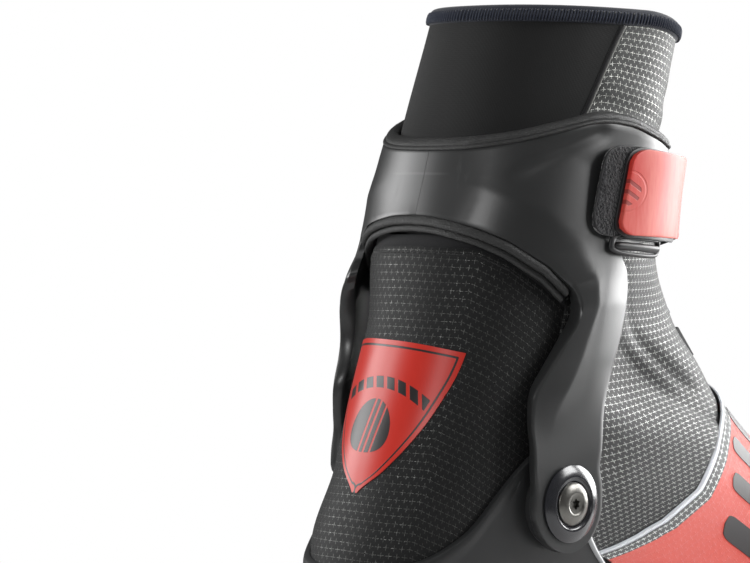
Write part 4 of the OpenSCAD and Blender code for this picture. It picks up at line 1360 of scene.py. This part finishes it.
def bore(side, radius, low, high):
    bm = bmesh.new()
    bmesh.ops.create_cone(bm, cap_ends=True, segments=72, radius1=radius * MM, radius2=radius * MM,
                          depth=(high - low) * MM, matrix=Matrix.Translation(
                              Vector((PIVOT.x, side * (low + high) / 2 * MM, PIVOT.z)))
                          @ Matrix.Rotation(math.pi / 2, 4, "X"))
    return bm


cuff = shell_piece("cuff", 320, edge_outline(30, 8, 0.028), cuff_point, CUFF_PLASTIC, None,
                   ["cuff"])
for side in (-1, 1):
    cut(cuff, bore(side, BORE_R, EYE_IN - 2, EYE_OUT + 2))
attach(cuff, "cuff_assembly")


def cuff_at(u, v):
    """Signed angle and height at share u along the cuff and v across it."""
    k = (1 - abs(2 * u - 1)) * CUFF_END
    phi, z = cuff_angle(k, v)
    return (1 if u < 0.5 else -1) * phi, z


LINING_START = 0.335


def lining_at(u, v, lift):
    phi, z = cuff_at(mix(LINING_START, 1 - LINING_START, u), mix(0.03, 0.98, v))
    return shaft(phi, z, 1.85 + lift)


lining = skin_piece("cuff_lining", 120, 16, lining_at, 0.9, BLACK_CLOTH, "cuff_assembly",
                    ["cuff_lining"])


def rounded_end(u, share=0.012):
    """Closes a roll's radius at both ends."""
    e = min(u, 1 - u) / share
    return math.sqrt(max(1 - (1 - clamp(e)) ** 2, 0.0004))


def edge_roll(start, v, drop, off, r_up, r_out, wrinkle=0.0):
    """A roll that follows an edge of the cuff, drop mm from it."""
    def at(u, angle):
        phi, z = cuff_at(mix(start, 1 - start, u), v)
        a = math.radians(angle)
        r = rounded_end(u) * (1 + wrinkle * math.sin(u * 410) * math.sin(u * 173 + 1))
        return shaft(phi, z + drop + r * r_up * math.cos(a), off + r * r_out * math.sin(a))
    return at


rim = roll_piece("cuff_rim_pad", 260, 20, edge_roll(0.325, 1, 1.5, 2.6, 2.1, 2.25, 0.02), PADDING,
                 "cuff_assembly", ["cuff_rim_pad"])
rim_cord = roll_piece("cuff_rim_welt", 260, 12, edge_roll(0.325, 1, 0.35, 4.75, 0.75, 0.75, 0.02), PADDING,
                      "cuff_assembly")
arch = roll_piece("cuff_arch_pad", 220, 18, edge_roll(0.222, 0, -1.5, 3.7, 1.85, 1.8, 0.02), PADDING,
                  "cuff_assembly", ["cuff_arch_pad"])
arch_inner = roll_piece("cuff_arch_welt", 220, 14, edge_roll(0.226, 0, -4.5, 2.5, 1.5, 1.3, 0.02), PADDING,
                        "cuff_assembly")

# ---------------------------------------------------------------- pivots
CAP_BASE = 46.45
HEAD_SEAT = CAP_BASE + 0.8
CAP_PROFILE = [(3.1, 0), (12.9, 0), (13, 0.12), (13, 0.55), (12.75, 0.8), (9.5, 1.72), (9.1, 1.78),
               (8.75, 1.7), (8.6, 1.45), (8.2, 1.25), (7.75, 1.2), (7.6, 0.95), (7.5, 0.8),
               (3.1, 0.8), (3.1, 0)]
HEAD_PROFILE = [(0, 0), (7.15, 0), (7.2, 0.1), (7.2, 0.55), (7.0, 0.82), (6.2, 1.3), (5.0, 1.72), (4.0, 1.92),
                (3.7, 1.9), (3.4, 1.72), (3.0, 1.66), (0, 1.66)]
RECESS_R, RECESS_WAVE = 1.62, 0.3


def lobed_recess(side):
    bm = bmesh.new()
    ring = []
    for i in range(48):
        angle = 360 * i / 48
        radius = RECESS_R + RECESS_WAVE * math.cos(math.radians(6 * angle))
        ring.append(bm.verts.new(on_side(side, radius, angle, HEAD_SEAT + 0.35)))
    face = bm.faces.new(ring)
    raised = bmesh.ops.extrude_face_region(bm, geom=[face])
    bmesh.ops.translate(bm, verts=[v for v in raised["geom"] if isinstance(v, bmesh.types.BMVert)],
                        vec=(0, side * 3 * MM, 0))
    bmesh.ops.recalc_face_normals(bm, faces=bm.faces)
    return bm


for side, word in ((1, "left"), (-1, "right")):
    turned("pivot_cap_" + word, side, [(r, CAP_BASE + h) for r, h in CAP_PROFILE], CAP_PAINT,
           "boot", ["pivot_cap_" + word])
    head = turned("pivot_screw_" + word, side, [(r, HEAD_SEAT + h) for r, h in HEAD_PROFILE], GUN_METAL,
                  None, ["pivot_screw_" + word])
    cut(head, lobed_recess(side))
    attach(head, "boot")
    dress("pivot_nut_" + word, STEEL)
    dress("pivot_sleeve_" + word, STEEL)
    dress("pivot_bush_" + word, BUSH_PLASTIC)

# ---------------------------------------------------------------- strap
STRAP_H, STRAP_T, TAB_T, PAD_T = 28, 1.5, 2.4, 1.8
PAD_IN = 6.4
PAD_OUT = PAD_IN + PAD_T
TAB_IN = PAD_OUT + 0.8
TAB_REAR, TAB_FRONT, STRAP_END = 89, 136, 258
STRAP_FRONT = 5


def strap_z(phi):
    return CUFF_TOP - 33 + 9.5 * (abs(phi - 180) / 88) ** 1.3


def strap_dip(phi):
    return (TAB_IN - STRAP_FRONT) * (1 - smooth((abs(phi - 180) - 12) / 30))


def strap_point(phi, up, off):
    return shaft(phi, strap_z(phi) + up, off - strap_dip(phi))


DEGREE_MM = 0.82    # the width of one degree round the cuff at the strap


def rounded_patch(phi0, phi1, half, corner, swell=0.0):
    """A strap piece with rounded corners, corner in mm."""
    width = (phi1 - phi0) * DEGREE_MM

    def at_off(off):
        def at(u, v, lift):
            x = (u - 0.5) * width
            inset = max(abs(x) - (width / 2 - corner), 0)
            reach = half - corner + math.sqrt(max(corner ** 2 - inset ** 2, 0.0))
            up = (2 * v - 1) * reach
            dome = swell * (1 - (2 * u - 1) ** 4) * (1 - (2 * v - 1) ** 4)
            return strap_point(mix(phi0, phi1, u), up, off + dome + lift)
        return at
    return at_off


skin_piece("strap", 120, 16, rounded_patch(TAB_FRONT + 0.6, STRAP_END, STRAP_H / 2, 4)(TAB_IN + STRAP_T),
           STRAP_T, STRAP_WEB, "cuff_assembly", ["strap"], edge=0.3)
skin_piece("strap_tab", 60, 40,
           rounded_patch(TAB_REAR, TAB_FRONT, STRAP_H / 2 + 0.6, 4.5, 0.4)(TAB_IN + TAB_T),
           TAB_T - 0.5, TAB_PLASTIC, "tab", ["strap_tab"], edge=0.5)
skin_piece("tab_backing", 60, 30,
           rounded_patch(TAB_REAR - 0.9, TAB_FRONT, STRAP_H / 2 + 1.3, 4.8)(TAB_IN + 0.5),
           0.9, TRIM_PLASTIC, "tab", ["strap_hooks"], edge=0.25)


def hook_dots():
    """Small hooks on the back of the tab."""
    bm = bmesh.new()
    for i in range(16):
        for j in range(12):
            phi = mix(TAB_REAR + 3, TAB_FRONT - 12, i / 15)
            up = mix(-STRAP_H / 2 + 3, STRAP_H / 2 - 3, j / 11)
            bmesh.ops.create_uvsphere(bm, u_segments=6, v_segments=4, radius=0.35 * MM,
                                      matrix=Matrix.Translation(strap_point(phi, up, TAB_IN - 0.45)))
    return bm


add_piece("hook_dots", hook_dots(), HOOKS, "tab", sharp=0)
pad = skin_piece("loop_pad", 50, 34, rounded_patch(80, 126, STRAP_H / 2 + 1, 6, 0.25)(PAD_OUT), PAD_T,
                 LOOP_PILE, "cuff_assembly", ["loop_pad"], edge=0.4)


def pad_edge(u, angle):
    """Thin welded edge round the pad's outline."""
    width, half = 46 * DEGREE_MM, STRAP_H / 2 + 1.3
    a = u * 2 * math.pi
    x, z = math.cos(a), math.sin(a)
    n = 5.0
    r = (abs(x) ** n + abs(z) ** n) ** (-1 / n)
    phi = 103 + x * r * (width / 2 + 0.3) / DEGREE_MM
    t = math.radians(angle)
    grow = 0.35 * math.cos(t)
    return strap_point(phi + x * r * grow / DEGREE_MM, z * r * half + z * r * grow,
                       PAD_OUT - 0.35 + 0.4 * math.sin(t))


roll_piece("loop_pad_edge", 160, 8, pad_edge, TRIM_PLASTIC, "cuff_assembly", closed=True)


def pile_tufts():
    """Loose curls that break up the pad's face."""
    bm = bmesh.new()
    for _ in range(900):
        phi, up = random.uniform(81.5, 125), random.uniform(-STRAP_H / 2 + 0.3, STRAP_H / 2 - 0.3)
        if abs(phi - 103) > 19 and abs(up) > STRAP_H / 2 - 3:
            continue
        point = strap_point(phi, up, PAD_OUT + random.uniform(-0.15, 0.25))
        turn = Matrix.Rotation(random.uniform(0, math.pi), 4, random.choice("XYZ"))
        bmesh.ops.create_icosphere(bm, subdivisions=1, radius=1, matrix=Matrix.Translation(point) @ turn
                                   @ Matrix.Diagonal((0.5 * MM, 0.22 * MM, 0.3 * MM, 1)))
    return bm


add_piece("pile_tufts", pile_tufts(), LOOP_PILE, "cuff_assembly", sharp=0)


def guide_at(u, angle):
    phi = mix(90, 117, u)
    a = math.radians(angle)
    r = rounded_end(u, 0.08) * 1.35
    z = strap_z(phi) - STRAP_H / 2 - 4
    return shaft(phi, z + r * math.cos(a), PAD_IN + 1.5 + r * math.sin(a))


roll_piece("strap_guide", 40, 16, guide_at, TRIM_PLASTIC, "cuff_assembly", ["strap_guide"])


def guide_frame(u, angle):
    """The guide's flat loop under the tab."""
    a = u * 2 * math.pi
    n = 4.0
    x, z = math.cos(a), math.sin(a)
    r = (abs(x) ** n + abs(z) ** n) ** (-1 / n)
    t = math.radians(angle)
    wide, tall = 11.5 + 0.7 * math.cos(t), 3.4 + 0.7 * math.cos(t)
    phi = 103.5 + x * r * wide / DEGREE_MM
    return shaft(phi, strap_z(phi) - STRAP_H / 2 - 3.2 + z * r * tall, PAD_IN + 1.2 + 0.8 * math.sin(t))


roll_piece("strap_guide_frame", 90, 10, guide_frame, TRIM_PLASTIC, "cuff_assembly",
           closed=True)
dress("strap_rivets", EYELET_METAL)


def strap_edge_stitches(edge):
    def path(t, lift=0.0):
        phi = mix(TAB_FRONT + 4, STRAP_END - 2, t)
        return strap_point(phi, edge * (STRAP_H / 2 - 2), TAB_IN + STRAP_T + 0.05 + lift)
    return path


for edge, word in ((1, "upper"), (-1, "lower")):
    add_piece(f"strap_stitches_{word}", stitch_mesh(strap_edge_stitches(edge), 44, 1.6, 0.45, 0.4),
              BLACK_THREAD, "cuff_assembly")

# ---------------------------------------------------------------- floor
bm = bmesh.new()
bmesh.ops.create_circle(bm, cap_ends=True, segments=128, radius=0.42,
                        matrix=Matrix.Translation((0, 0, -0.0005)))
floor_mesh = bpy.data.meshes.new("studio_floor")
bm.to_mesh(floor_mesh)
bm.free()
floor = bpy.data.objects.new("studio_floor", floor_mesh)
bpy.context.scene.collection.objects.link(floor)
floor_mesh.materials.append(Finish("studio_floor", base_color=(0.8, 0.8, 0.8), roughness=0.7).material)
